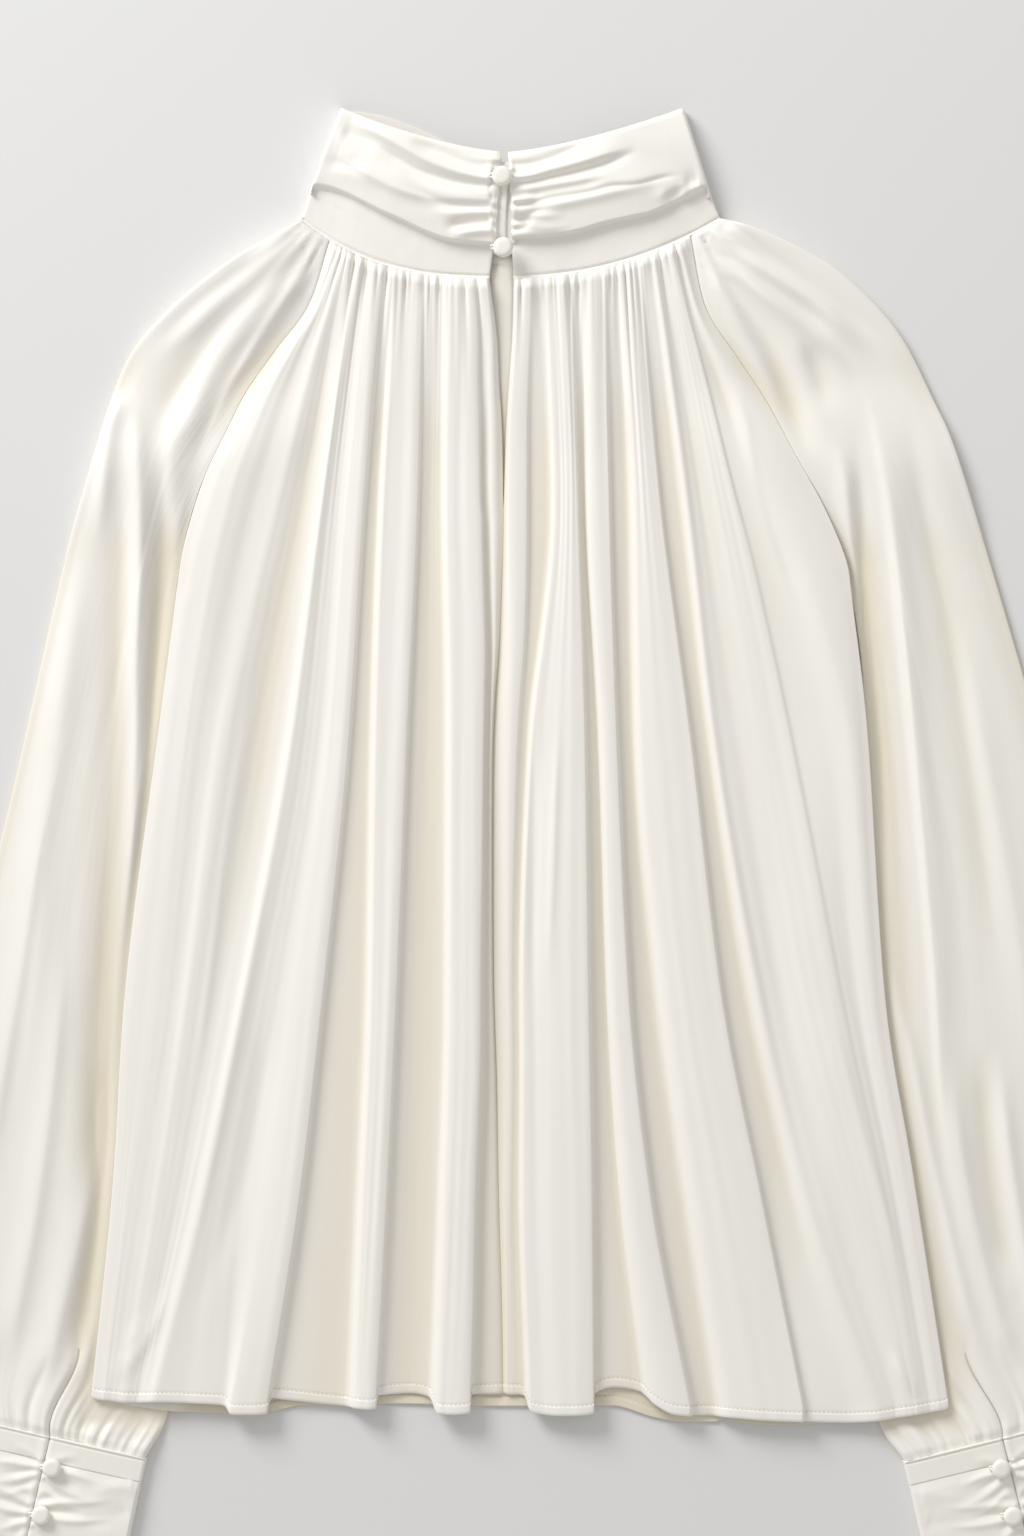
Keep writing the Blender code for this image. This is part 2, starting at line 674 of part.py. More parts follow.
def neck_layer(half, out, down, top, layer, is_inside):
    """A point of the neckband or collar on the upper layer, the side fold or the lower layer."""
    if layer == "top":
        return place(half, out, down, top - (WALL if is_inside else 0))
    if layer == "under":
        return place(half, out, down, WALL if is_inside else 0)
    return place(half, out, down, top / 2)


def make_neckband(material):
    """The plain band between the gathered body and the collar."""

    def point(station, row, is_inside):
        half, share, layer = station
        up = 1 - row
        reach = half.neck_reach + (half.band_edge - half.neck_reach) * up
        gap = SLIT_HALF_WIDTH + (COLLAR_GAP - SLIT_HALF_WIDTH) * up
        out = neck_out(station, gap, reach, is_inside, BAND_BULGE * up)
        rise = FRONT_NECK_RISE * (1 - share**2) if layer == "under" else 0
        low = neck_seam(half, out) + RAGLAN_GAP + rise
        high = collar_low_edge(half, out) + BAND_UNDER_COLLAR + rise
        top = NECK_TOP + 1.4 * up - 1.6 * step(0.6, 1, share)
        return neck_layer(half, out, low + up * (high - low), top, layer, is_inside)

    return ring_sheet("neckband", material, neck_stations(), 2, point)


def collar_height(share, up, is_top, is_inside=False):
    """The top of the laid collar, with the puckers at its slit edge and its long drapes."""
    rise = np.sin(np.pi * (0.22 + 0.6 * up))
    height = COLLAR_EDGE_TOP + (COLLAR_TOP - COLLAR_EDGE_TOP) * rise - 3.0 * step(0.55, 1, share)
    if is_top:
        near = 0 if is_inside else step(0.4, 0.02, share)
        pucker = np.sin(2 * np.pi * COLLAR_PUCKERS * up + 0.5)
        drape = np.sin(2 * np.pi * COLLAR_FOLDS * up + 1.5 * share - 1.0) * step(1.0, 0.55, share)
        height += COLLAR_RUCHE * (0.45 * near * pucker + 0.9 * drape)
    return height


def make_collar(material):
    """The high collar, ruched at its two edges by the slit, its lowest fold hanging over the band."""

    def point(station, row, is_inside):
        half, share, layer = station
        up = 1 - row
        reach = half.band_edge + (half.collar_reach - half.band_edge) * up
        out = neck_out(station, COLLAR_GAP, reach, is_inside, COLLAR_BULGE)
        low = collar_low_edge(half, out)
        high = collar_top_edge(half, out)
        if layer != "top" or share > 0.99:
            low += BAND_UNDER_COLLAR + RAGLAN_GAP
        if layer == "under":
            low += FRONT_NECK_RISE * (1 - share**2)
            high += FRONT_COLLAR_RISE * (1 - share**2)
        down = low + up * (high - low)
        top = collar_height(share, up, layer == "top", is_inside)
        return neck_layer(half, out, down, top, layer, is_inside)

    stations = neck_stations()
    spans = len(stations) - 1
    return ring_sheet(
        "collar",
        material,
        stations,
        COLLAR_ROWS,
        point,
        fine=[("down", 0, 2 / spans, 2), ("down", 1 - 2 / spans, 1, 2)],
    )


def tube_stations(side_spans, under_stations):
    """The places round a flattened tube from its slit: share across from the inner fold, and layer."""
    ring = [(0.5 + 0.5 * number / side_spans, "top") for number in range(side_spans + 1)]
    ring += [(1.0, "edge")]
    ring += [(station, "under") for station in under_stations]
    ring += [(0.0, "edge")]
    ring += [(0.5 * number / side_spans, "top") for number in range(side_spans + 1)]
    return ring


def cuff_frame(half):
    """The middle of the cuff seam, the direction across it and the direction down the arm."""
    outer, inner = np.array(half.cuff_outer), np.array(half.cuff_inner)
    width = np.linalg.norm(outer - inner)
    across = (outer - inner) / width
    arm = np.array([across[1], -across[0]])
    return (outer + inner) / 2, across, arm, width


def cuff_point(half, station, depth, slit_side, is_inside, ruche, flare):
    """A point of a cuff at a depth down the arm from its seam."""
    across, layer = station
    middle, direction, arm, width = cuff_frame(half)
    reach = (width / 2 + flare - (FOLD_INSET if is_inside else 0)) * (2 * across - 1)
    if layer == "edge" and not is_inside:
        reach += BAND_BULGE * (1 if across > 0.5 else -1)
    if layer == "top":
        reach += slit_side * CUFF_SLIT_HALF_WIDTH
        height = CUFF_TOP + (0 if is_inside else ruche) - abs(2 * across - 1) ** 3
        height -= WALL if is_inside else 0
    elif layer == "under":
        height = WALL if is_inside else 0
    else:
        height = (CUFF_TOP - 1.0) / 2
    out, down = middle + direction * reach + arm * depth
    return place(half, out, down, height)


def make_cuff(half, name, material, start, end, rows, ruche, flare):
    """A cuff piece between two depths down the arm, open at its slit."""
    stations = tube_stations(CUFF_SIDE_SPANS, np.linspace(1, 0, CUFF_UNDER_SPANS + 1))
    last = len(stations) - 1

    def point(station_number, row, is_inside):
        station = stations[station_number]
        slit_side = 1 if station_number == 0 else -1 if station_number == last else 0
        near = step(0.9, 0.1, abs(2 * station[0] - 1))
        pucker = 0.5 + 0.5 * np.sin(2 * np.pi * CUFF_PUCKERS * row + 4.0)
        wave = ruche * pucker * (0.35 + 0.65 * near)
        depth = start + row * (end - start)
        return cuff_point(half, station, depth, slit_side, is_inside, wave, flare * row)

    return ring_sheet(name, material, list(range(last + 1)), rows, point)


def make_button(name, material, out, down, base, radius):
    """A covered button: a flat-backed dome, with its rim rolled under."""
    form = bmesh.new()
    bmesh.ops.create_uvsphere(form, u_segments=14, v_segments=7, radius=1.0)
    low = [vert for vert in form.verts if vert.co.z < -BUTTON_RIM]
    for vert in low:
        vert.co.z = -BUTTON_RIM
    bmesh.ops.dissolve_limit(form, angle_limit=0.01, verts=low, edges=[])
    for vert in form.verts:
        vert.co = (
            (out + vert.co.x * radius) * MM,
            (down + vert.co.y * radius) * MM,
            (base + (vert.co.z + BUTTON_RIM) / (1 + BUTTON_RIM) * BUTTON_DOME) * MM,
        )
    return build_object(name, form, material)


def centre_on_origin(pieces):
    """Moves every piece so that the middle of the garment's underside is the origin."""
    corners = np.array([vert.co for piece in pieces for vert in piece.data.vertices])
    low, high = corners.min(axis=0), corners.max(axis=0)
    shift = ((low[0] + high[0]) / 2, (low[1] + high[1]) / 2, low[2])
    for piece in pieces:
        for vert in piece.data.vertices:
            vert.co.x -= shift[0]
            vert.co.y -= shift[1]
            vert.co.z -= shift[2]


def main():
    for thing in list(bpy.data.objects):
        bpy.data.objects.remove(thing, do_unlink=True)
    collection = bpy.data.collections.new(NAME)
    bpy.context.scene.collection.children.link(collection)

    body = satin("body_satin", (0.83, 0.80, 0.73))
    trim = satin("trim_satin", (0.85, 0.82, 0.76))
    covered = satin("button_satin", (0.80, 0.77, 0.70))

    pieces = [make_front(body), make_neckband(trim), make_collar(trim)]
    for half in (LEFT, RIGHT):
        pieces.append(make_back(half, body))
        pieces.append(make_sleeve(half, body))
        band = CUFF_BAND_DEPTH
        pieces.append(make_cuff(half, f"cuff_band_{half.side}", trim, SEAM_GAP, band, 1, 0.0, 0.0))
        name = f"cuff_{half.side}"
        pieces.append(make_cuff(half, name, trim, band + SEAM_GAP, CUFF_DEPTH, CUFF_ROWS, CUFF_RUCHE, 1.0))
        middle, direction, arm, _ = cuff_frame(half)
        for number, depth in enumerate(CUFF_BUTTON_DEPTHS, 1):
            out, down = middle - direction * CUFF_BUTTON_INWARD + arm * depth
            name = f"button_cuff_{half.side}_{number}"
            base = CUFF_TOP + CUFF_RUCHE + SEAM_GAP
            pieces.append(make_button(name, covered, half.sign * out, down, base, CUFF_BUTTON_RADIUS))
    for name, out, down in NECK_BUTTONS:
        middle = (down - LEFT.collar_low) / (LEFT.collar_top - LEFT.collar_low)
        reach = NECK_BUTTON_RADIUS / (LEFT.collar_top - LEFT.collar_low)
        ups = np.clip(np.linspace(middle - reach, middle + reach, 9), 0, 1)
        base = max(collar_height(share, up, True) for share in (0, 0.05, 0.1) for up in ups) + SEAM_GAP
        pieces.append(make_button(f"button_neck_{name}", covered, out, down, base, NECK_BUTTON_RADIUS))
    centre_on_origin(pieces)


main()
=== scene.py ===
"""Dresses the laid blouse: satin panels with folds and gathers, bands, cuffs, buttons and stitching.

Sizes are in millimetres until a point is placed. Places are measured from the centre-back neck seam:
out to each side and down to the hem, which is negative. The left half is the left as seen from above.
"""

from collections import namedtuple

import bpy
import numpy as np
from bpy.props import FloatProperty, PointerProperty, StringProperty
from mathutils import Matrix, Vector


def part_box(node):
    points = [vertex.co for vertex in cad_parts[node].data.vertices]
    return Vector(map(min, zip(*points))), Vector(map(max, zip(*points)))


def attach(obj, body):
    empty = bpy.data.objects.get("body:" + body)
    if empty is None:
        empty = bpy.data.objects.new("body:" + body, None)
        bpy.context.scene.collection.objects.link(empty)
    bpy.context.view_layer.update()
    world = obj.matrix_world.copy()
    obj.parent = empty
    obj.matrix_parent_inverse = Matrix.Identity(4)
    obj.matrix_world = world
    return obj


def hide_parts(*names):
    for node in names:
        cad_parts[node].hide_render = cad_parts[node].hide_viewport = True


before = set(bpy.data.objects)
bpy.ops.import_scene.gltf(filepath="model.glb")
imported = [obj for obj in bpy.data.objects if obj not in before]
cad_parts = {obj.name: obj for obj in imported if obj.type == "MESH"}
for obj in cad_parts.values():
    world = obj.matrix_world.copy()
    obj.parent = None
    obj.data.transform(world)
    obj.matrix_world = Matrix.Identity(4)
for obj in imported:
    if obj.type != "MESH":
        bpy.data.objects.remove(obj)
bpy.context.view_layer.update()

bl_info = {
    "name": "Laid pleated blouse",
    "version": (1, 0, 0),
    "blender": (4, 5, 0),
    "location": "View3D > Sidebar > Blouse",
    "description": "Dresses a high-neck satin blouse that lies back side up",
    "category": "Object",
}

MM = 0.001
BODY = "root"

BODY_CLOTH = "charmeuse"
TRIM_CLOTH = "doubled charmeuse"
THREAD = "polyester thread"

# Lengths and heights, as in the part's source
CLOTH_TOP = 1.2  # a solid's wall, whose outer side the thin cloth follows
SEAM_GAP = 0.3
SLIT_GAP = 0.06  # half the gap of a cuff's or a sleeve's slit, whose edges meet
UNDERARM = -174.0
HEM = -614.0
HEM_DROP = 9.5  # a ridge's hem lies this much lower than a valley's
# Points of the front's hem, which shows just below the backs': to the right, and up
FRONT_HEM = (
    (-226, -616), (-205, -620.5), (-180, -624), (-150, -625.5), (-128, -624.5), (-110, -621),
    (-60, -620.2), (0, -621.6), (60, -621.2), (85, -628), (100, -630.2), (118, -630.2), (124, -627),
    (132, -630.4), (152, -632), (178, -631), (205, -627.5), (245, -619.5),
)
FRONT_NECK_RISE = 8.0  # how much higher up the front's neck edge lies than the backs', at its middle
STRIP_TOP = 2.5  # the top of the sleeve's inner fold, on which the body's side lies
BODY_LIFT = STRIP_TOP + SEAM_GAP
NECK_TOP = 7.2  # of the neckband at its seam
SIDE_DROP = 1.6  # how much lower it lies at the sides of the neck
COLLAR_TOP = 15.0  # of the collar along its middle
COLLAR_EDGE_TOP = 10.0  # towards its upper and lower edges
PAINTED_FOLD_SHADE_LOW = 1.0  # cloth lower than this lies deep in a fold and takes the full painted fold shade; cloth at the next height lies on a crest and takes none
PAINTED_FOLD_SHADE_HIGH = 6.0
COLLAR_BASE = 0.4  # the lowest place of the collar's cloth, a thickness over the floor
CUFF_TOP = 7.0
BAND_DEPTH = 13.0  # how far down the arm a cuff's band reaches
CUFF_DEPTH = 60.0  # and its ruched part below that
BAND_TUCK = 2.0  # how far the cuff band's edge turns down onto the gathered sleeve
SLEEVE_BULGE = 0.8  # how far the folded edges of the flattened tubes bulge
TRIM_BULGE = 1.6  # of neckband and cuffs
COLLAR_BULGE = 2.0
SLEEVE_WIDTH = 112.0  # across the laid sleeve, for what follows its threads
HIP_WIDTH = 215.0  # across a back at the hips, for the same
HEM_WIDTH = 230.0  # and at the hem
BACK_LENGTH = 640.0  # from neck seam to hem, to place the hem stitches by
HEM_STITCH = 5.6  # how far the stitches lie from the hem's edge
HEM_TURN = (6.0, 4.6)  # where the turned hem's second layer begins, and where it is full
EDGE_GAP = 0.06  # half the gap of the backs' inner edges
EDGE_TUCK = 0.6  # how far the left edge lies under the right one, below the slit
LEAST_GAP = 0.4  # between two lines of a back
FLAT_EDGE = (0.5, 0.3, 0.2)  # a back's edge over its floor, at chest, hips and hem
CELL = 1.2  # about how wide a back's mesh cells are at the waist
CELL_LIMITS = (2, 11)  # the fewest and the most cells between two lines
COLLAR_WAVE = 0.22  # how far the collar's ruched edges sway
NOTCH = 5.5  # how far down from the collar's top edge its slit is open
# Names and places of the neck buttons: to the right, and up
NECK_BUTTONS = (("upper", 0.0, 54.9), ("lower", 0.6, 16.0))
SEAM_START = -128  # above it the backs part
# Points of the centre-back seam below the slit: to the right, and up
CENTRE_SEAM = ((0.1, -161), (-1.4, -202), (-3.6, -232), (-4.8, -266), (-5.0, -330), (-4.6, -392),
               (-3.1, -440), (-1.8, -506), (0, -570), (0.9, -640))

# The narrow strip under the collar's left edge, as shares of the collar's width inwards from it
PLACKET = (-0.115, -0.095, -0.078, -0.069, -0.063, -0.057, -0.052, -0.04, -0.026, -0.014, -0.007,
           -0.003)

# The camera looks straight down, and its frame takes in FRAME_HEIGHT at the cloth's level
CAMERA_PLACE = (5.5, -269.5)
FRAME_HEIGHT = 844.8
CLOTH_LEVEL = 8
LENS = 100
SENSOR = 36
# In metres
KEY_PLACE = (-1.95, 2.45, 1.65)
KEY_SIZE = 1.6
FLOOR_SIZE = 8
FAR_CLIP = 20

MERGE = 2e-6  # points of a piece's mesh that lie nearer than this, in metres, become one
PATTERN_UNIT = 100  # a cloth's UV map counts in units of 10 mm, so a metre has this many

STITCH_SPACING = 2.4  # from the middle of one hem stitch to the next
STITCH_LENGTH = 1.6
STITCH_THICK = 0.4
LOOP_THICK = 0.55  # half the thickness of a button loop
LOOP_LEVEL = 0.45  # its middle over the button's foot
LOOP_WALL = 0.12  # the thickness of its own cloth

# Gathers at a seam: their spacing, how far they run from it, their height, and what they add to the
# half's seed
Gathers = namedtuple("Gathers", "spacing reach height seed")
BACK_GATHERS = (Gathers(4.9, 34, 2.6, 0), Gathers(2.7, 28, 0.9, 20), Gathers(8.6, 105, 1.7, 21))
CUFF_GATHERS = (Gathers(7.4, 70, 1.3, 11), Gathers(4.2, 40, 1.1, 13), Gathers(2.1, 14, 0.7, 12))
FAN_GATHERS = (Gathers(4.4, 62, 2.2, 14),)

# Distances below the neck seam at which a fold's height is given, and the shares of its chest height
# at the first three, where it grows out of the gathers
HEIGHT_LEVELS = (0, 35, 80, 130, 397, 620)
NECK_SHARES = (0.15, 0.55, 0.9)


def rows_of(kind, *rows):
    """The rows of a table, each as a named tuple."""
    return [kind(*row) for row in rows]


# Lines along the back, from centre back to the side: crests, valleys and the steep sides of folds, each
# with its distance out at six levels down, its height over the floor at chest, hips and hem, where it ends
# at the hem, and how far the cloth there leans over
LEVELS = np.array((0.0, 122.0, 254.0, 397.0, 507.0, 620.0))
FoldLine = namedtuple("FoldLine", "neck chest waist hips low hem high_chest high_hips high_hem end lean")
LINES_LEFT = rows_of(
    FoldLine,
    (9, 4.4, 2.6, 3, 4, 4, 2.8, 1.6, 0.9, -614.6, 0),
    (12, 8.4, 7.2, 8.2, 10.5, 13, 0.8, 1.0, 1.1, -614.4, 0),
    (14, 11.0, 9.6, 11.2, 14.0, 16.7, 1.6, 2.4, 2.6, -614.6, 0),
    (15.2, 12.3, 10.9, 12.6, 15.6, 18.4, 4.3, 7.0, 7.6, -623.6, 1),
    (19, 18, 16, 17.5, 20.5, 24, 5.3, 8.3, 8.9, -624.8, 0.3),
    (24, 24, 22, 23, 26, 30, 4.7, 7.8, 8.3, -624.9, 0),
    (29, 30, 28, 28.5, 31.5, 35.5, 4.9, 7.3, 7.4, -624.4, 0),
    (32.5, 34, 32, 32.5, 36, 40.5, 0.7, 0.9, 1.0, -616.2, 0),
    (36, 38.5, 40, 43, 46.5, 51, 0.3, 0.2, 0.2, -614.3, 0),
    (40, 43.4, 48.6, 54.4, 59.4, 64.8, 1.2, 1.8, 2.0, -614.8, 0),
    (42, 45.2, 51.3, 57.3, 62.5, 68.3, 1.9, 2.8, 3.1, -615.2, 0),
    (43.4, 46.7, 52.8, 58.9, 64.2, 70.2, 4.1, 6.3, 7.2, -621.6, 1),
    (47, 51, 57, 62.5, 68, 74, 4.9, 7.3, 8.2, -622.2, 0.3),
    (51, 57, 62, 66, 71, 77, 4.2, 6.8, 7.8, -622, 0),
    (57, 65, 69.5, 71.5, 76, 80.5, 4.6, 6.4, 7.0, -621.7, 0),
    (60, 68.8, 73.5, 76.5, 82, 87.5, 0.5, 0.4, 0.5, -621.2, 0),
    (62.5, 72.4, 80.5, 94.5, 106.5, 123, 1.1, 1.6, 2.0, -617.2, 0),
    (64, 74.6, 83.2, 97.6, 110.0, 127.4, 1.7, 2.5, 3.0, -616.4, 0),
    (65.2, 76.1, 84.8, 99.4, 112.2, 130, 3.9, 5.6, 7.0, -624.2, 1),
    (68, 79.5, 88.5, 104, 117.5, 136, 4.7, 6.5, 8.0, -625, 0.3),
    (71.5, 84.5, 94, 112, 127, 148.5, 3.9, 5.4, 6.6, -624.9, 0),
    (74.5, 90, 101, 124, 143, 153.5, 2.6, 3.3, 2.6, -620.3, 0),
    (77.5, 95, 109, 135, 157, 175, 3.1, 4.0, 2.4, -618.9, 0),
    (80.5, 99, 115.8, 142.3, 165, 192, 4.5, 5.5, 3.6, -618.3, 0),
    (82.5, 102.5, 120.5, 147, 170, 197, 2.3, 2.6, 1.9, -618.7, 0),
    (85, 110, 135, 158, 178, 202, 0.4, 0.1, 0.7, -619, 0),
    (87.5, 123, 152, 172.5, 189, 208, 2.7, 2.6, 1.5, -618.8, 0),
    (89.4, 135, 161.5, 180, 196.5, 213.5, 1.2, 1.2, 0.8, -618.2, 0),
    (91.4, 149, 173, 188.5, 205, 219, 2.6, 2.1, 1.0, -617.6, 0),
)
LINES_RIGHT = rows_of(
    FoldLine,
    (8.6, 3, 2.2, 2, 2, 3, 3.2, 1.8, 0.7, -614.8, 0),
    (11.5, 7.5, 4.8, 3.6, 3.6, 5.2, 3.8, 2.1, 0.7, -615, 0.3),
    (14.8, 13.6, 8.4, 5.4, 5.0, 7.6, 3.1, 1.7, 0.5, -615, 0.8),
    (16.4, 15.4, 10.2, 6.8, 6.4, 9.4, 1.2, 0.8, 0.3, -615, 0),
    (22, 26.0, 13.8, 9.2, 9.0, 12.4, 0.4, 0.3, 0.3, -615.9, 0),
    (24.4, 28.8, 16.6, 11.4, 11.6, 15.6, 3.7, 5.0, 6.2, -623.4, 0),
    (27, 32, 22, 17.5, 18.5, 22, 3.9, 4.8, 6.4, -625, 0),
    (30, 35, 29.5, 26, 26, 30, 4.6, 6.5, 7.8, -625.6, 0),
    (34, 38.5, 38, 38, 40, 41, 5.0, 7.5, 8.5, -625.4, 0.3),
    (38, 41.2, 45.0, 47.0, 48.8, 49.6, 4.3, 6.7, 7.4, -624.2, 1),
    (39.4, 42.3, 46.4, 48.5, 50.4, 51.2, 1.7, 2.6, 2.8, -614.2, 0),
    (41.5, 43.7, 49.5, 52.5, 57, 62, 0.8, 1.2, 1.3, -610.8, 0),
    (44, 45.4, 52.4, 57.0, 64.2, 77, 0.2, 0.1, 0.3, -613.4, 0),
    (46.4, 47.6, 54.8, 59.4, 67.2, 83, 3.8, 5.4, 5.2, -619, 0),
    (51, 53, 59, 64.5, 74, 94, 4.8, 6.7, 7.3, -625, 0.3),
    (56.6, 58.6, 62.6, 69.4, 81.5, 103, 4.1, 6.0, 6.4, -626.1, 1),
    (58, 59.9, 64.2, 71.0, 83.3, 105, 1.6, 2.3, 2.5, -626.1, 0),
    (60.5, 63.5, 67.4, 76, 89, 109, 0.7, 1.0, 1.1, -626.3, 0),
    (63, 69, 71.6, 83, 98, 116, 0.3, 0.3, 0.4, -626.6, 0),
    (66, 73.5, 76.5, 91, 107, 125, 3.6, 5.0, 5.4, -627, 0),
    (70, 79, 89, 104, 124, 145, 4.6, 6.4, 7.1, -628.4, 0.3),
    (75, 86.3, 103.2, 120.3, 142, 164.5, 3.9, 5.7, 6.4, -629.2, 1),
    (76.6, 87.8, 104.8, 122.2, 144, 167, 1.5, 2.2, 2.5, -629.3, 0),
    (78.5, 91.5, 108.6, 127.5, 151, 178, 0.7, 1.0, 1.1, -629.8, 0),
    (80.8, 97, 112.8, 134, 159, 191, 0.4, 0.3, 0.2, -630, 0),
    (83.5, 101.5, 116.8, 141, 167.5, 206, 3.9, 4.8, 2.8, -628.8, 0),
    (85.6, 105, 121.5, 146.5, 174, 212, 2.5, 3.3, 2.0, -628, 0),
    (87.6, 110, 130, 155, 184, 217, 1.5, 2.2, 1.3, -627.2, 0),
    (90.5, 119, 144, 169, 197, 223.5, 2.9, 3.6, 2.2, -626.2, 0.2),
    (93.6, 127.8, 157.8, 185, 209, 229.5, 3.4, 3.3, 1.9, -625.2, 0.5),
    (95.4, 130.6, 161.6, 189, 212.6, 232.5, 1.9, 1.7, 1.2, -624.8, 0),
    (97.4, 141, 178, 196, 217, 236, 0.6, 0.4, 0.3, -624.2, 0),
    (99.6, 153, 191.5, 203, 222, 239.6, 2.9, 2.1, 0.8, -623.6, 0),
)

Half = namedtuple(
    "Half",
    "side sign neck_reach neck_lift neck_power raglan flank shoulder inner_edge cuff_outer cuff_inner"
    " band_edge seam_low seam_curve collar_top collar_rise collar_reach overhang lines corner parting"
    " band_ends collar_ends far_rise seed",
)
LEFT = Half(
    side="left",
    sign=-1,
    neck_reach=110.8,
    neck_lift=32.3,
    neck_power=2.78,
    raglan=(94.6, (106.0, -14.0), (124.5, -39.0), (141.0, -62.7), (152.0, -84.7),
            (164.7, -112.0), (175.0, -146.7), (179.3, -174.0)),
    flank=((189.8, -254.0), (207.0, -387.0), (214.5, -501.0), (226.2, -616.0)),
    shoulder=((131.1, 20.5), (153.5, 7.0), (183.8, -17.7), (208.5, -50.3), (232.1, -124.3),
              (245.3, -177.0), (270.0, -287.0), (298.0, -400.0), (325.0, -520.0), (322.0, -585.0)),
    inner_edge=((181.6, -196.0), (183.0, -260.0), (183.5, -420.0), (183.0, -560.0), (184.5, -622.0)),
    cuff_outer=(300.5, -625.9),
    cuff_inner=(197.2, -649.6),
    band_edge=104.0,
    seam_low=12.7,
    seam_curve=0.0030,
    collar_top=69.3,
    collar_rise=0.0292,
    collar_reach=86.9,
    overhang=((3.6, 17.0), (21, 18.0), (32, 19.8), (44, 24.5), (55, 29.9), (67, 35.3), (76, 40.0),
              (86, 44.3), (95, 46.6), (104, 47.6)),
    lines=LINES_LEFT,
    corner=-616.8,
    parting=((6.8, 0), (2.7, -31), (1.4, -57), (-0.2, -84), (-0.8, -128)),
    band_ends=(6.8, 4.2),
    collar_ends=(3.6, 1.2),
    far_rise=5.6,
    seed=3,
)
RIGHT = Half(
    side="right",
    sign=1,
    neck_reach=120.7,
    neck_lift=33.0,
    neck_power=2.2,
    raglan=(103.4, (112.0, -16.0), (129.0, -42.2), (145.2, -66.6), (161.7, -97.4),
            (177.0, -125.0), (189.4, -154.6), (192.6, -174.0)),
    flank=((201.6, -252.8), (211.2, -397.0), (226.1, -491.0), (245.9, -619.3)),
    shoulder=((143.0, 26.1), (165.5, 15.4), (187.9, 1.4), (217.1, -28.9), (237.3, -67.1),
              (251.9, -103.0), (287.1, -220.0), (320.7, -342.0), (350.0, -480.0), (353.0, -570.0)),
    inner_edge=((196.6, -196.0), (199.6, -225.0), (201.0, -270.0), (201.0, -420.0), (201.0, -560.0),
                (207.0, -625.0)),
    cuff_outer=(328.4, -625.1),
    cuff_inner=(222.5, -651.5),
    band_edge=112.6,
    seam_low=14.0,
    seam_curve=0.0023,
    collar_top=68.8,
    collar_rise=0.0250,
    collar_reach=98.1,
    overhang=((3.6, 20.4), (18, 20.8), (30, 21.8), (41, 23.9), (56, 28.3), (69, 31.2), (81, 33.9),
              (94, 38.8), (106, 44.3), (113, 47.4)),
    lines=LINES_RIGHT,
    corner=-622.6,
    parting=((6.2, 0), (5.5, -31), (3.8, -57), (2.1, -84), (0.8, -128)),
    band_ends=(6.2, 5.2),
    collar_ends=(5.2, 3.4),
    far_rise=-1.0,
    seed=8,
)
HALVES = (LEFT, RIGHT)

# A crease: its height, how far it reaches to its left and right as seen from above, how much of its
# length it takes to rise and to fade, and the points that it passes, to the right and up.
Crease = namedtuple("Crease", "height left right rise fade path")
CREASE_REACH = 3.2  # past this many widths from its path a crease lifts nothing
CREASE_CROWN = 1.7  # the higher, the flatter its crown and the steeper its sides

BACK_CREASES = {
    "left": rows_of(
        Crease,
        (0.9, 3, 2, 0.3, 0.4, ((-208, -585), (-203, -582), (-196, -577))),
        (1.2, 5, 3, 0.3, 0.3, ((-184, -556), (-193, -580), (-206, -598), (-219, -606))),
        (-1.2, 6, 6, 0.3, 0.4, ((-128, -400), (-140, -480), (-158, -545), (-176, -575))),
        (0.8, 3, 3, 0.3, 0.4, ((-134, -210), (-150, -300), (-163, -400), (-172, -470))),
    ),
    "right": rows_of(
        Crease,
        (1.0, 3, 2, 0.3, 0.4, ((31, -240), (28, -320), (25, -400))),
        (-1.1, 3, 3, 0.3, 0.4, ((18, -230), (17, -330), (16, -420))),
        (1.6, 3, 2, 0.4, 0.3, ((214, -590), (222, -606), (231, -613))),
        (1.0, 5, 3, 0.3, 0.4, ((127, -44), (134, -80), (141, -120), (155, -166), (171, -210))),
        (1.2, 6, 3, 0.3, 0.4, ((176, -385), (186, -425), (198, -470), (211, -515), (228, -570))),
    ),
}

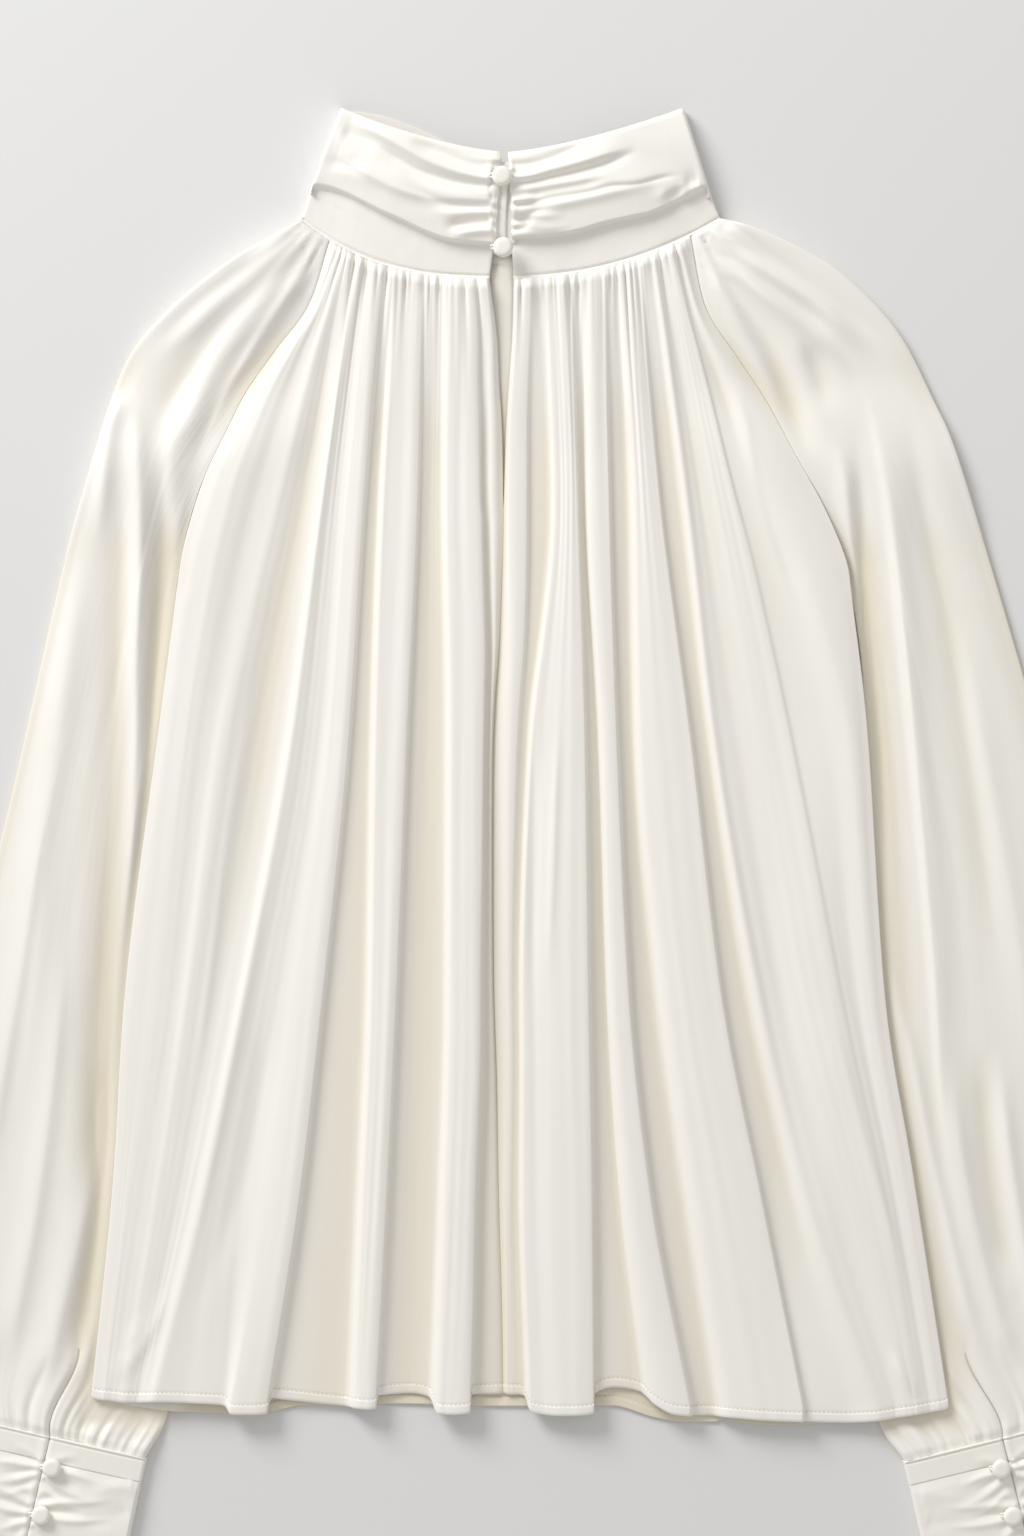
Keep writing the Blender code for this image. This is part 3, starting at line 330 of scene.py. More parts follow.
SLEEVE_CREASES = {
    "left": rows_of(
        Crease,
        (1.7, 7, 6, 0.3, 0.4, ((-115, 27), (-148, 7), (-173, -12), (-197, -36), (-209, -54))),
        (-1.5, 8, 8, 0.3, 0.4, ((-124, 19), (-150, -2), (-172, -18), (-190, -34), (-200, -46))),
        (2.1, 6, 6, 0.2, 0.4, ((-115, 22), (-138, 1), (-156, -13), (-172, -28), (-194, -48))),
        (-1.5, 9, 8, 0.2, 0.3, ((-116, 12), (-138, -10), (-156, -28), (-172, -50), (-186, -76),
                                (-188, -108))),
        (1.8, 9, 8, 0.15, 0.35, ((-108, 16), (-126, -4), (-139, -20), (-151, -36), (-161, -52),
                                 (-170, -75), (-180, -90), (-182, -103), (-179, -142), (-181, -180))),
        (-1.6, 5, 5, 0.2, 0.3, ((-106, 8), (-122, -12), (-136, -32), (-148, -52), (-163, -84),
                                (-173, -111))),
        (2.4, 5, 4, 0.15, 0.4, ((-102, 8), (-117, -8), (-130, -26), (-140, -42), (-152, -62),
                                (-167, -98))),
        (3.2, 5, 6, 0.1, 0.5, ((-211, -66), (-206, -66), (-201, -88), (-199, -150), (-201, -212),
                                (-201, -254), (-203, -306), (-209, -420), (-213, -480))),
        (2.6, 4, 5, 0.1, 0.5, ((-208, -64), (-215, -80), (-219, -110), (-222, -150))),
        (-1.8, 9, 7, 0.15, 0.2, ((-209, -92), (-211, -177), (-214, -254), (-219, -340), (-224, -430),
                                 (-226, -520))),
        (-1.5, 7, 6, 0.2, 0.2, ((-188, -70), (-187, -130), (-190, -200), (-192, -290))),
        (2.4, 9, 9, 0.3, 0.3, ((-228, -130), (-236, -190), (-247, -280), (-256, -380), (-266, -470))),
        (1.8, 8, 4, 0.3, 0.3, ((-245, -254), (-256, -322), (-265, -382), (-276, -449), (-286, -520))),
        (2.2, 8, 5, 0.3, 0.15, ((-240, -350), (-247, -440), (-256, -510), (-265, -560),
                                (-272, -600))),
        (2.4, 8, 6, 0.4, 0.15, ((-222, -470), (-233, -530), (-245, -580), (-254, -612))),
        (-2.2, 8, 7, 0.3, 0.2, ((-217, -420), (-222, -500), (-229, -560), (-238, -605))),
        (2.0, 5, 5, 0.4, 0.2, ((-206, -520), (-214, -556), (-224, -585), (-234, -612))),
        (1.6, 4, 4, 0.4, 0.2, ((-200, -560), (-208, -590), (-219, -622))),
    ),
    "right": rows_of(
        Crease,
        (-1.2, 3, 5, 0.2, 0.3, ((126, 22), (157, 3), (183, -15), (201, -28), (218, -38))),
        (2.8, 5, 5, 0.2, 0.35, ((124, 18), (137, 8), (158, -5), (176, -17), (189, -29), (205, -44))),
        (-1.7, 4, 5, 0.2, 0.3, ((118, 17), (138, 3), (153, -8), (170, -20), (184, -34))),
        (2.2, 4, 4, 0.2, 0.3, ((114, 15), (135, -3), (153, -16), (168, -28), (183, -42), (194, -58))),
        (-2.0, 6, 6, 0.2, 0.3, ((112, 10), (130, -8), (145, -34), (154, -56), (163, -78), (172, -100))),
        (2.4, 5, 5, 0.2, 0.4, ((108, 10), (122, -10), (134, -32), (147, -56), (158, -78))),
        (1.8, 7, 7, 0.3, 0.4, ((126, 6), (146, -14), (160, -32), (170, -56), (180, -84))),
        (-2.0, 7, 7, 0.35, 0.5, ((168, -34), (172, -50), (176, -64), (180, -78))),
        (2.6, 5, 5, 0.3, 0.4, ((184, -90), (189, -112), (192, -140), (194, -170), (194, -200))),
        (-2.0, 7, 7, 0.2, 0.3, ((193, -72), (197, -110), (199, -177), (205, -254), (211, -340))),
        (3.2, 3, 9, 0.25, 0.3, ((193, -52), (199, -60), (205, -78), (213, -124), (221, -191),
                                  (226, -243), (232, -310), (238, -380), (243, -452), (252, -510))),
        (-1.6, 7, 7, 0.2, 0.3, ((223, -63), (228, -100), (237, -150), (246, -192), (256, -253),
                                (267, -330), (276, -400))),
        (1.8, 8, 8, 0.3, 0.3, ((252, -180), (262, -240), (275, -310), (288, -390), (296, -460))),
        (2.6, 6, 4, 0.3, 0.2, ((210, -366), (218, -400), (226, -430), (235, -476), (245, -521),
                               (256, -566), (268, -602))),
        (2.4, 7, 5, 0.3, 0.15, ((246, -430), (256, -500), (270, -560), (284, -604))),
        (2.8, 5, 5, 0.3, 0.15, ((272, -420), (282, -500), (293, -560), (300, -598))),
        (-2.0, 7, 7, 0.3, 0.2, ((262, -420), (270, -500), (280, -556))),
        (2.6, 5, 4, 0.3, 0.15, ((298, -440), (310, -520), (314, -590))),
        (2.4, 3, 3, 0.3, 0.2, ((222, -520), (232, -560), (243, -596), (252, -620))),
        (2.0, 3, 3, 0.3, 0.2, ((214, -560), (222, -596), (232, -628))),
    ),
}

COLLAR_CREASES = {
    "left": rows_of(
        Crease,
        (1.9, 2.8, 8.5, 0.2, 0.03, ((-84, 87), (-67, 78), (-53.6, 70.6), (-41.5, 63.8), (-28, 58.5),
                                    (-14, 54.8), (-5, 53))),
        (-1.2, 4.5, 2.4, 0.25, 0.03, ((-72, 74), (-56.6, 64.6), (-46, 58.5), (-32.5, 54.0),
                                      (-20.4, 51.4), (-5, 49.6))),
        (1.4, 3.0, 9, 0.25, 0.03, ((-94, 70), (-74.7, 57), (-56.6, 48), (-38.5, 43.4), (-20.4, 42.6),
                                   (-5, 43))),
        (-1.2, 4, 3, 0.3, 0.1, ((-52, 75), (-38, 70), (-24, 64.5), (-12, 59.5), (-6, 58.5))),
        (-1.1, 3, 3, 0.35, 0.05, ((-56, 54), (-44, 46), (-32, 41), (-20, 39.5), (-5, 39.8))),
        (0.9, 3, 3, 0.4, 0.05, ((-40, 37), (-28, 34.5), (-16, 35), (-5, 35.6))),
        (-1.2, 3, 2.6, 0.4, 0.1, ((-33, 25), (-26, 28.6), (-17, 30.4), (-5, 31))),
        (0.9, 2.4, 2.4, 0.4, 0.05, ((-30, 22.4), (-20, 24), (-11, 25.6), (-5, 26))),
        (0.5, 4, 5, 0.4, 0.5, ((-97, 57), (-88, 58), (-78, 54), (-66, 46))),
        (-0.6, 4, 5, 0.3, 0.5, ((-98, 61), (-90, 63), (-82, 60), (-74, 54))),
        (0.4, 5, 5, 0.4, 0.4, ((-93, 72), (-88, 74), (-84, 70), (-80, 62))),
        (-0.8, 5, 5, 0.2, 0.5, ((-89, 80), (-78, 77), (-64, 70))),
    ),
    "right": rows_of(
        Crease,
        (1.8, 8.5, 2.6, 0.03, 0.3, ((1, 54.5), (14, 55.4), (26, 58.4), (40, 62), (56, 67), (74, 73))),
        (-1.0, 1.6, 3, 0.05, 0.3, ((5, 51), (12, 51.3), (26, 54.4), (47, 59.4), (60, 63.6),
                                   (77, 70.4))),
        (-1.3, 3, 4, 0.05, 0.4, ((5, 59.4), (12, 60.5), (26, 65), (39, 70.5), (52, 76))),
        (1.0, 3, 3, 0.05, 0.4, ((5, 48), (16, 48.6), (30, 50.6), (46, 53), (64, 57))),
        (-1.2, 3, 4, 0.05, 0.25, ((1, 44.6), (14, 45.6), (26, 47.6), (40, 50), (60, 54))),
        (1.3, 9, 3, 0.03, 0.3, ((1, 37), (16, 37.4), (36, 41), (60, 46.4), (84, 52), (104, 57))),
        (-0.9, 1.5, 3, 0.05, 0.2, ((5, 39.2), (12, 39.5), (26, 43), (47, 46.3), (60, 49.6), (74, 50.6),
                                   (89, 54.6), (102, 56.4))),
        (1.2, 3, 3, 0.05, 0.5, ((5, 42), (10, 42.6), (20, 44.6))),
        (1.2, 3, 3, 0.05, 0.5, ((5, 34.4), (12, 34), (22, 33), (36, 33.6))),
        (-1.1, 3, 3, 0.05, 0.5, ((5, 30.4), (12, 32), (20, 36.6), (32, 39))),
        (-1.0, 2.4, 2.4, 0.05, 0.5, ((5, 25.4), (11, 27), (18, 30))),
        (1.0, 3, 3, 0.05, 0.5, ((5, 28), (14, 27.2), (26, 26.8), (40, 28))),
        (1.0, 5, 4, 0.4, 0.2, ((82, 41), (90, 47), (96, 50.4), (104, 51.6))),
        (-0.9, 5, 4, 0.3, 0.1, ((88, 42), (96, 46.4), (102, 51.6), (109, 54))),
        (0.8, 4, 4, 0.4, 0.1, ((96, 43.6), (103, 48.4), (110, 50.6))),
    ),
}

# Creases of a cuff: along its seam from the slit, and down the arm. They spread from its two buttons.
CUFF_CREASES = rows_of(
    Crease,
    (1.1, 2, 2, 0.05, 0.5, ((1, 13.4), (6, 11.4), (12, 8.6), (20, 7))),
    (-1.1, 1.8, 1.8, 0.05, 0.5, ((1, 15), (7, 14), (14, 12.6), (22, 12.4))),
    (1.2, 2, 2, 0.05, 0.5, ((1, 17), (8, 17.4), (18, 17.4), (32, 20))),
    (-1.1, 2, 2, 0.05, 0.5, ((1, 18.6), (7, 20), (14, 22.4), (24, 24.6))),
    (1.0, 2, 2.4, 0.05, 0.5, ((1, 20.4), (6, 23), (12, 26), (22, 29), (36, 30))),
    (-0.8, 2, 2, 0.05, 0.5, ((1, 23.4), (6, 26.6), (11, 29.6), (18, 32.4))),
    (0.7, 2, 2, 0.1, 0.5, ((1, 29), (8, 31), (16, 35), (26, 36.4))),
    (-0.8, 2, 2, 0.05, 0.5, ((1, 35.4), (6, 33), (12, 31.4))),
    (1.1, 2, 2, 0.05, 0.5, ((1, 38.6), (8, 36.4), (16, 33.6), (30, 31), (44, 26))),
    (-1.1, 2, 2, 0.05, 0.5, ((1, 40.8), (8, 40), (18, 38.4), (30, 38))),
    (1.2, 2, 2.2, 0.05, 0.5, ((1, 43), (8, 43.4), (20, 43), (36, 40), (48, 36))),
    (-1.1, 2, 2, 0.05, 0.5, ((1, 45), (7, 46.4), (16, 48.4))),
    (1.0, 2, 2, 0.05, 0.5, ((1, 47), (6, 49.6), (12, 53), (20, 56))),
    (-0.7, 2, 2, 0.1, 0.4, ((1, 50.4), (5, 54), (9, 57))),
    (0.7, 4, 5, 0.4, 0.1, ((26, 27), (36, 23), (44, 19), (52, 17))),
    (-0.6, 5, 4, 0.4, 0.1, ((24, 46), (36, 41), (46, 35), (52, 32))),
)


def step(low, high, value):
    """Goes smoothly from 0 at low to 1 at high."""
    share = np.clip((value - low) / (high - low), 0.0, 1.0)
    return share * share * (3.0 - 2.0 * share)


def between(low, high, share):
    """The value at a share of the way from low to high."""
    return low + (high - low) * share


def hump(distance, width):
    """A soft ridge, 1 high at distance 0."""
    return np.exp(-((distance / width) ** 2))


def smooth_path(points, per_span=10):
    """The points of a smooth curve through the given ones."""
    given = np.array(points, dtype=float)
    padded = np.vstack([2 * given[0] - given[1], given, 2 * given[-1] - given[-2]])
    share = np.linspace(0, 1, per_span, endpoint=False)[:, None]
    runs = []
    for before, start, end, after in zip(padded, padded[1:], padded[2:], padded[3:]):
        bend = 2 * before - 5 * start + 4 * end - after
        twist = 3 * start - before - 3 * end + after
        runs.append(0.5 * (2 * start + (end - before) * share + bend * share**2 + twist * share**3))
    return np.vstack(runs + [given[-1:]])


def lengths_along(path):
    return np.r_[0, np.cumsum(np.linalg.norm(np.diff(path, axis=0), axis=1))]


def along(path, share):
    """The points at shares of a path's length."""
    lengths = lengths_along(path)
    return np.stack([np.interp(share * lengths[-1], lengths, column) for column in path.T], axis=-1)


def eased(knots, values, at):
    """Reads curves that pass smoothly through rows of values at the knots and never overshoot them."""
    knots = np.asarray(knots, dtype=float)
    values = np.atleast_2d(values).astype(float)
    at = np.clip(np.atleast_2d(at), knots[0], knots[-1])
    at = np.broadcast_to(at, (len(values), at.shape[1]))
    spans = np.diff(knots)
    slopes = np.diff(values, axis=1) / spans
    before, after = slopes[:, :-1], slopes[:, 1:]
    same_way = before * after > 0
    middle = np.where(same_way, 2 * before * after / np.where(same_way, before + after, 1), 0)
    tangents = np.hstack([slopes[:, :1], middle, slopes[:, -1:]])
    cell = np.clip(np.searchsorted(knots, at, side="right") - 1, 0, len(knots) - 2)
    share = (at - knots[cell]) / spans[cell]
    low, high = np.take_along_axis(values, cell, 1), np.take_along_axis(values, cell + 1, 1)
    leave = np.take_along_axis(tangents, cell, 1) * spans[cell]
    arrive = np.take_along_axis(tangents, cell + 1, 1) * spans[cell]
    ease = share * share * (3 - 2 * share)
    return low + (high - low) * ease + share * (1 - share) * ((1 - share) * leave - share * arrive)


def crease_field(x, y, creases):
    """How far the creases lift the cloth at each place."""
    lift = np.zeros_like(x)
    for crease in creases:
        path = smooth_path(crease.path, 6)
        total = lengths_along(path)
        reach = CREASE_REACH * max(crease.left, crease.right)
        near = (x > path[:, 0].min() - reach) & (x < path[:, 0].max() + reach)
        near &= (y > path[:, 1].min() - reach) & (y < path[:, 1].max() + reach)
        if not near.any():
            continue
        spots = np.stack([x[near], y[near]], axis=-1)
        best = np.full(len(spots), np.inf)
        side = np.zeros(len(spots))
        place = np.zeros(len(spots))
        rising = path[-1, 1] > path[0, 1]
        for start, end, length in zip(path, path[1:], total):
            run = end - start
            share = np.clip(((spots - start) @ run) / (run @ run), 0, 1)
            away = spots - start - share[:, None] * run
            distance = np.linalg.norm(away, axis=1)
            closer = distance < best
            best[closer] = distance[closer]
            turn = run[0] * away[:, 1] - run[1] * away[:, 0]
            side[closer] = (turn if rising else -turn)[closer]
            place[closer] = (length + share * np.sqrt(run @ run))[closer] / total[-1]
        width = np.where(side > 0, crease.left, crease.right)
        shape = np.exp(-((best / width) ** CREASE_CROWN))
        shape *= step(0, crease.rise, place) * step(1, 1 - crease.fade, place)
        lift[near] += crease.height * shape
    return lift


def ripple(across, down, spacing, length, seed):
    """Uneven lengthwise ripples of the cloth, from -1 to 1, that wander and fade along it."""
    draw = np.random.default_rng(seed)
    total = np.zeros(np.broadcast(across, down).shape)
    for _ in range(6):
        wave = 2 * np.pi / (spacing * draw.uniform(0.6, 1.7))
        sway = draw.uniform(0.4, 1.2) * np.sin(down / length * draw.uniform(2, 5) + draw.uniform(0, 6))
        total += np.sin(wave * across + sway + draw.uniform(0, 6)) * (
            0.6 + 0.4 * np.sin(down / length * draw.uniform(3, 6) + draw.uniform(0, 6))
        )
    return total / 6


def gather_field(across, away, spacing, reach, height, seed):
    """Tube-like gathers, from a seam: uneven in width, height and length."""
    draw = np.random.default_rng(seed)
    count = int((across.max() - across.min()) / spacing * 1.3) + 9
    widths = spacing * draw.uniform(0.5, 1.7, count)
    edges = across.min() + np.r_[0, np.cumsum(widths)]
    tall = height * draw.uniform(0.6, 1.25, count) * (0.55 + 0.45 * widths / spacing)
    long = reach * draw.uniform(0.25, 1.3, count) ** 1.3
    index = np.clip(np.searchsorted(edges, across, side="right") - 1, 0, count - 1)
    share = (across - edges[index]) / widths[index]
    away = np.clip(away, 0, None)
    tube = (1 - np.abs(2 * np.clip(share, 0, 1) ** 0.9 - 1) ** 2.3) ** 0.9
    fade = 0.3 * np.exp(-away / (long[index] * 0.25)) + 0.7 * np.exp(-((away / long[index]) ** 1.6))
    return tall[index] * tube * fade * (0.4 + 0.6 * step(0, 6, away))


def gathered(across, away, rows, seed):
    """All the gathers of one seam."""
    return sum(gather_field(across, away, *row[:3], seed + row.seed) for row in rows)


def neck_seam(half, out):
    """How far up the neck seam lies."""
    return half.neck_lift * (np.clip(out, 0, None) / half.neck_reach) ** half.neck_power


def band_top(half, out):
    """How far up the neckband reaches."""
    return half.seam_low + half.seam_curve * out**2


def collar_top_edge(half, out):
    """How far up the collar reaches."""
    return half.collar_top + half.collar_rise * np.abs(out) ** 1.5


def centre_back(half, down):
    """How far out a back's inner edge lies. Below the slit the left one is tucked under the right one."""
    line = INNER_EDGES[half.side]
    tuck = EDGE_TUCK if half.sign < 0 else 0.0
    edge = np.interp(-down, -line[:, 1], line[:, 0]) + EDGE_GAP
    return edge - tuck * step(SEAM_START + 8, SEAM_START - 6, down)


def outline(half):
    """The raglan seam and the side seam as one line from the neck to the hem."""
    start = half.raglan[0]
    seam = smooth_path([(start, neck_seam(half, start)), *half.raglan[1:]])
    return np.vstack([seam, smooth_path([half.raglan[-1], *half.flank])[1:]])


def slit_and_seam(half):
    """A back's inner edge as one line: the slit's, then the centre-back seam."""
    seam = [(half.sign * x, down) for x, down in CENTRE_SEAM]
    return smooth_path([*half.parting, *seam])


OUTLINES = {half.side: outline(half) for half in HALVES}
INNER_EDGES = {half.side: slit_and_seam(half) for half in HALVES}
INNER_FOLDS = {
    half.side: smooth_path([half.raglan[-1], *half.inner_edge, half.cuff_inner]) for half in HALVES
}


def body_edge(half, down):
    """How far out the raglan seam or the side seam lies."""
    line = OUTLINES[half.side]
    return np.interp(-down, -line[:, 1], line[:, 0])


def strip_line(half, down):
    """How far out the sleeve's inner fold lies under the body's side."""
    fold = INNER_FOLDS[half.side]
    line = np.minimum(np.interp(-down, -fold[:, 1], fold[:, 0]), body_edge(half, down))
    return np.where(down > UNDERARM, body_edge(half, down), line)


def front_lift(half, out, down):
    """How far the front rises over the sleeve's inner fold, and a little under the slit."""
    line = strip_line(half, down)
    under_slit = 3.0 * step(13, 5, out) * step(-105, -30, down)
    return BODY_LIFT * step(line - 16, line - 3, out) * step(-110, -165, down) + under_slit


def back_floor(half, out, down):
    """The height of the back's cloth between its folds."""
    line = strip_line(half, down)
    rise = (NECK_TOP - 2 * CLOTH_TOP - SEAM_GAP) * step(105, 0, neck_seam(half, out) - down)
    lift = (BODY_LIFT + 0.4) * step(line - 55, line - 17, out) * step(-50, -105, down)
    return 2 * CLOTH_TOP + SEAM_GAP + rise + lift


NODE_LOW, NODE_HIGH = (np.array(corner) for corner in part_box("button_neck_upper"))
SHIFT = (NODE_LOW + NODE_HIGH)[:2] / 2 - np.array(NECK_BUTTONS[0][1:]) * MM


def placed(half, out, down, height):
    """Points of one half in metres, in the part's own frame."""
    x, y, z = np.broadcast_arrays(half.sign * out, down, height)
    return np.stack([x * MM + SHIFT[0], y * MM + SHIFT[1], z * MM], axis=-1)


def deselect():
    if bpy.context.object and bpy.context.object.mode != "OBJECT":
        bpy.ops.object.mode_set(mode="OBJECT")
    bpy.ops.object.select_all(action="DESELECT")


def new_piece(name):
    """Names the object that a tool has just added."""
    piece = bpy.context.object
    piece.name = piece.data.name = name
    return piece


def vertex_places(mesh):
    spots = np.zeros(len(mesh.vertices) * 3)
    mesh.vertices.foreach_get("co", spots)
    return spots.reshape(-1, 3)


def made_of(piece, material):
    """Shades a piece smoothly and gives it its material."""
    bpy.ops.object.shade_smooth()
    piece.data.materials.append(material)
    return piece


def cloth_piece(name, points, closed, thickness, material):
    """A cloth: a grid added and laid on rows of points, closed at its seam, then given its thickness."""
    columns, rows = points.shape[:2]
    deselect()
    bpy.ops.mesh.primitive_grid_add(x_subdivisions=columns - 1, y_subdivisions=rows - 1, size=1)
    piece = new_piece(name)
    mesh = piece.data
    flat = vertex_places(mesh)
    column = np.rint((flat[:, 0] + 0.5) * (columns - 1)).astype(int)
    row = np.rint((0.5 - flat[:, 1]) * (rows - 1)).astype(int)
    mesh.vertices.foreach_set("co", points[column, row].ravel())
    across = lengths_along(points[:, rows // 2])[column] * PATTERN_UNIT
    along_piece = lengths_along(points[columns // 3])[row] * PATTERN_UNIT
    corner = np.zeros(len(mesh.loops), dtype=int)
    mesh.loops.foreach_get("vertex_index", corner)
    mesh.uv_layers[0].data.foreach_set("uv", np.stack([across, along_piece], axis=-1)[corner].ravel())
    bpy.ops.object.mode_set(mode="EDIT")
    bpy.ops.mesh.select_all(action="SELECT")
    bpy.ops.mesh.remove_doubles(threshold=MERGE)
    if closed:
        bpy.ops.mesh.normals_make_consistent(inside=False)
    bpy.ops.object.mode_set(mode="OBJECT")
    mesh.update()
    # The outer side faces away from a tube's middle, and up on an open cloth
    level = points[..., 2].mean() if closed else 0
    if sum(face.normal.z * face.area * (face.center.z - level) for face in mesh.polygons) < 0:
        bpy.ops.object.mode_set(mode="EDIT")
        bpy.ops.mesh.select_all(action="SELECT")
        bpy.ops.mesh.flip_normals()
        bpy.ops.object.mode_set(mode="OBJECT")
    # The thickness goes inwards, so that the cloth keeps its outer form
    solid = piece.modifiers.new("cloth thickness", "SOLIDIFY")
    solid.thickness = thickness * MM
    solid.offset = -1
    solid.use_rim = True
    bpy.ops.object.modifier_apply(modifier=solid.name)
    return made_of(piece, material)


def finish(piece, node=None):
    """Puts a piece on the blouse's one body, and in place of a node if it has one."""
    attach(piece, BODY)
    if node:
        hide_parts(node)
    return piece


def sew(name, points, closed, slot, node):
    """Makes a piece of cloth in its slot's finish, in place of a node."""
    thickness = bpy.context.scene.blouse_cloth.thickness
    material = material_called(BODY_CLOTH if slot == "body_satin" else TRIM_CLOTH)
    return finish(cloth_piece(name, points, closed, thickness, material), node)


def in_runs(*runs):
    """Values in even steps, in runs of start, end and count. The next run starts at the last one's end."""
    parts = [np.linspace(*run)[:-1] for run in runs[:-1]]
    return np.concatenate([*parts, np.linspace(*runs[-1])])


# The back


def back_knots(half):
    """A back's lines from centre back out: their shares of the way across at the levels, their heights,
    hem and lean, the mesh cells before the next line, and their places at the levels."""
    gap = centre_back(half, -LEVELS)
    edge = body_edge(half, -LEVELS)
    # The flat edges come first and last, and the drawn lines between them
    knots = [(gap, *FLAT_EDGE, HEM - 0.5, 0), (gap + 1.2, *FLAT_EDGE, HEM - 0.5, 0)]
    for line in half.lines:
        knots.append((np.array(line[:6], dtype=float), *line[6:10], line.lean * half.sign))
    knots += [(edge - 3.5, 1.2, 0.9, 0.5, half.corner - 0.5, 0), (edge - 1.2, 0.7, 0.5, 0.4, half.corner, 0)]
    knots += [(edge, *FLAT_EDGE, half.corner + 1, 0)]
    places = np.array([knot[0] for knot in knots])
    for number in range(1, len(places) - 1):
        places[number] = np.maximum(places[number], places[number - 1] + LEAST_GAP)
    for number in range(len(places) - 2, 0, -1):
        places[number] = np.minimum(places[number], places[number + 1] - LEAST_GAP)
    shares = (places - gap) / (edge - gap)
    cells = np.clip(np.ceil(np.diff(places[:, 2]) / CELL), *CELL_LIMITS).astype(int)
    return shares, np.array([knot[1:] for knot in knots]), cells, places


def back_rows():
    """Shares down the back: close by the neck seam and at the hem."""
    near = np.linspace(0, 0.024, 14)[:-1]
    far = 1 - np.linspace(0.0145, 0, 18)
    middle = between(0.024, far[0], np.linspace(0, 1, 140)[:-1] ** 1.18)
    return np.r_[near, middle, far]


def back_places(half, at_levels, outs, hem, rows):
    """Where a back's cloth lies, out and down, its inner and outer edge there, and its neck seam. By the
    edges it keeps its share of the way across, and between them its own distance out."""
    by_edge = step(0.82, 1.0, at_levels[:, :1])
    neck_out = between(centre_back(half, 0.0), half.raglan[0], at_levels[:, :1])
    top = neck_seam(half, neck_out)
    down = between(top, hem, rows)
    # Places out and down depend on each other, and settle in a few rounds
    for _ in range(5):
        gap = centre_back(half, down)
        edge = body_edge(half, down) + 0.1 * (down > UNDERARM)
        from_seam = -down + top * step(150, 0, top - down)
        shared = between(gap, edge, eased(LEVELS, at_levels, from_seam))
        drawn = gap - eased(LEVELS, outs[:1] + 0 * outs, from_seam)
        straight = eased(LEVELS, outs, from_seam) + drawn * step(0.3, 0, at_levels[:, :1])
        out = np.where(at_levels[:, :1] < 0.02, shared, by_edge * shared + (1 - by_edge) * straight)
        down = np.where(rows == 0, neck_seam(half, out), between(top, hem, rows))
    return out, down, gap, edge, top


def back_points(half, stations, rows):
    """The back's cloth at stations across, counted in lines, and rows down, as shares of its length."""
    shares, traits, _, places = back_knots(half)
    numbers = np.arange(len(shares))
    at_levels = eased(numbers, shares.T, stations).T
    outs = eased(numbers, places.T, stations).T
    traits = eased(numbers, traits.T, stations).T
    heights, hem, over = traits[:, :3], traits[:, 3:4], traits[:, 4:]
    out, down, gap, edge, top = back_places(half, at_levels, outs, hem, rows)
    below = neck_seam(half, out) - down
    near_neck = heights[:, :1] * NECK_SHARES
    fold = eased(HEIGHT_LEVELS, np.hstack([near_neck, heights]), below)
    to_edge = edge - out
    fold = fold * np.where(down > UNDERARM, step(-4, 10, to_edge), step(-2, 5, to_edge))
    across = np.broadcast_to(at_levels[:, :1] * half.raglan[0], out.shape)
    gathers = gathered(across, below, BACK_GATHERS, half.seed)
    height = back_floor(half, out, down) + fold + gathers * np.where(down > UNDERARM, step(-1, 8, to_edge), 1)
    # Fine streaks lie along the folds, most on their crests
    streaks = ripple(at_levels[:, 3:4] * HIP_WIDTH, down, 8, 260, half.seed) * step(10, 90, below)
    height = height + 0.34 * streaks * step(0, 8, to_edge) * (0.45 + 0.55 * np.minimum(fold / 4, 1))
    height = height + crease_field(half.sign * out, down, BACK_CREASES[half.side])
    # The edges and the neck seam draw the cloth in
    height = height - 0.6 * hump(out - gap, 0.9) - 0.15 * hump(to_edge, 0.8)
    height = height - 0.5 * step(1.0, -0.2, below)
    if half.sign < 0:
        height = height - 0.5 * step(1.4, 0.4, out - gap) * step(SEAM_START + 6, SEAM_START - 4, down)
    to_hem = (1 - rows) * (top - hem)
    turned = 0.35 * step(*HEM_TURN, to_hem) - 0.3 * hump(to_hem - HEM_STITCH, 0.5) - 0.6 * hump(to_hem, 0.8)
    puckers = 0.3 * ripple(at_levels[:, 5:] * HEM_WIDTH, down, 5, 300, half.seed + 5) * step(16, 5, to_hem)
    height = height + turned + puckers
    out = out + over * step(30, 140, below) * np.minimum(fold / 7, 1.2)
    return placed(half, out, down, height)


def back_stations(half):
    """Stations across a back, counted in lines, with its mesh cells between each two."""
    cells = back_knots(half)[2]
    parts = [np.linspace(number, number + 1, count + 1)[:-1] for number, count in enumerate(cells)]
    return np.r_[tuple(parts) + (len(cells),)]


# The front


def front_points(columns, rows):
    """The front, from its left edge at -1 to its right one at 1."""
    halves = []
    for half, chosen in ((LEFT, columns[columns < 0]), (RIGHT, columns[columns >= 0])):
        share = np.abs(chosen)[:, None]
        top = neck_seam(half, share * half.raglan[0]) + FRONT_NECK_RISE * (1 - share**2)
        places, ends = np.array(FRONT_HEM).T
        hem = eased(places, ends, half.sign * share.T * half.flank[-1][0]).T
        down = between(top, hem, rows)
        edge = body_edge(half, down) - 0.5 * step(-199, -174, down)
        out = share * edge
        height = CLOTH_TOP + front_lift(half, out, down)
        height = height + 0.22 * ripple(share * 190, down, 26, 260, half.seed + 9) * step(-20, -120, down)
        to_hem = (1 - rows) * (top - hem)
        height = height + 0.3 * step(*HEM_TURN, to_hem) - 0.3 * hump(to_hem - HEM_STITCH, 0.5)
        halves.append(placed(half, out, down, height))
    return np.concatenate(halves)


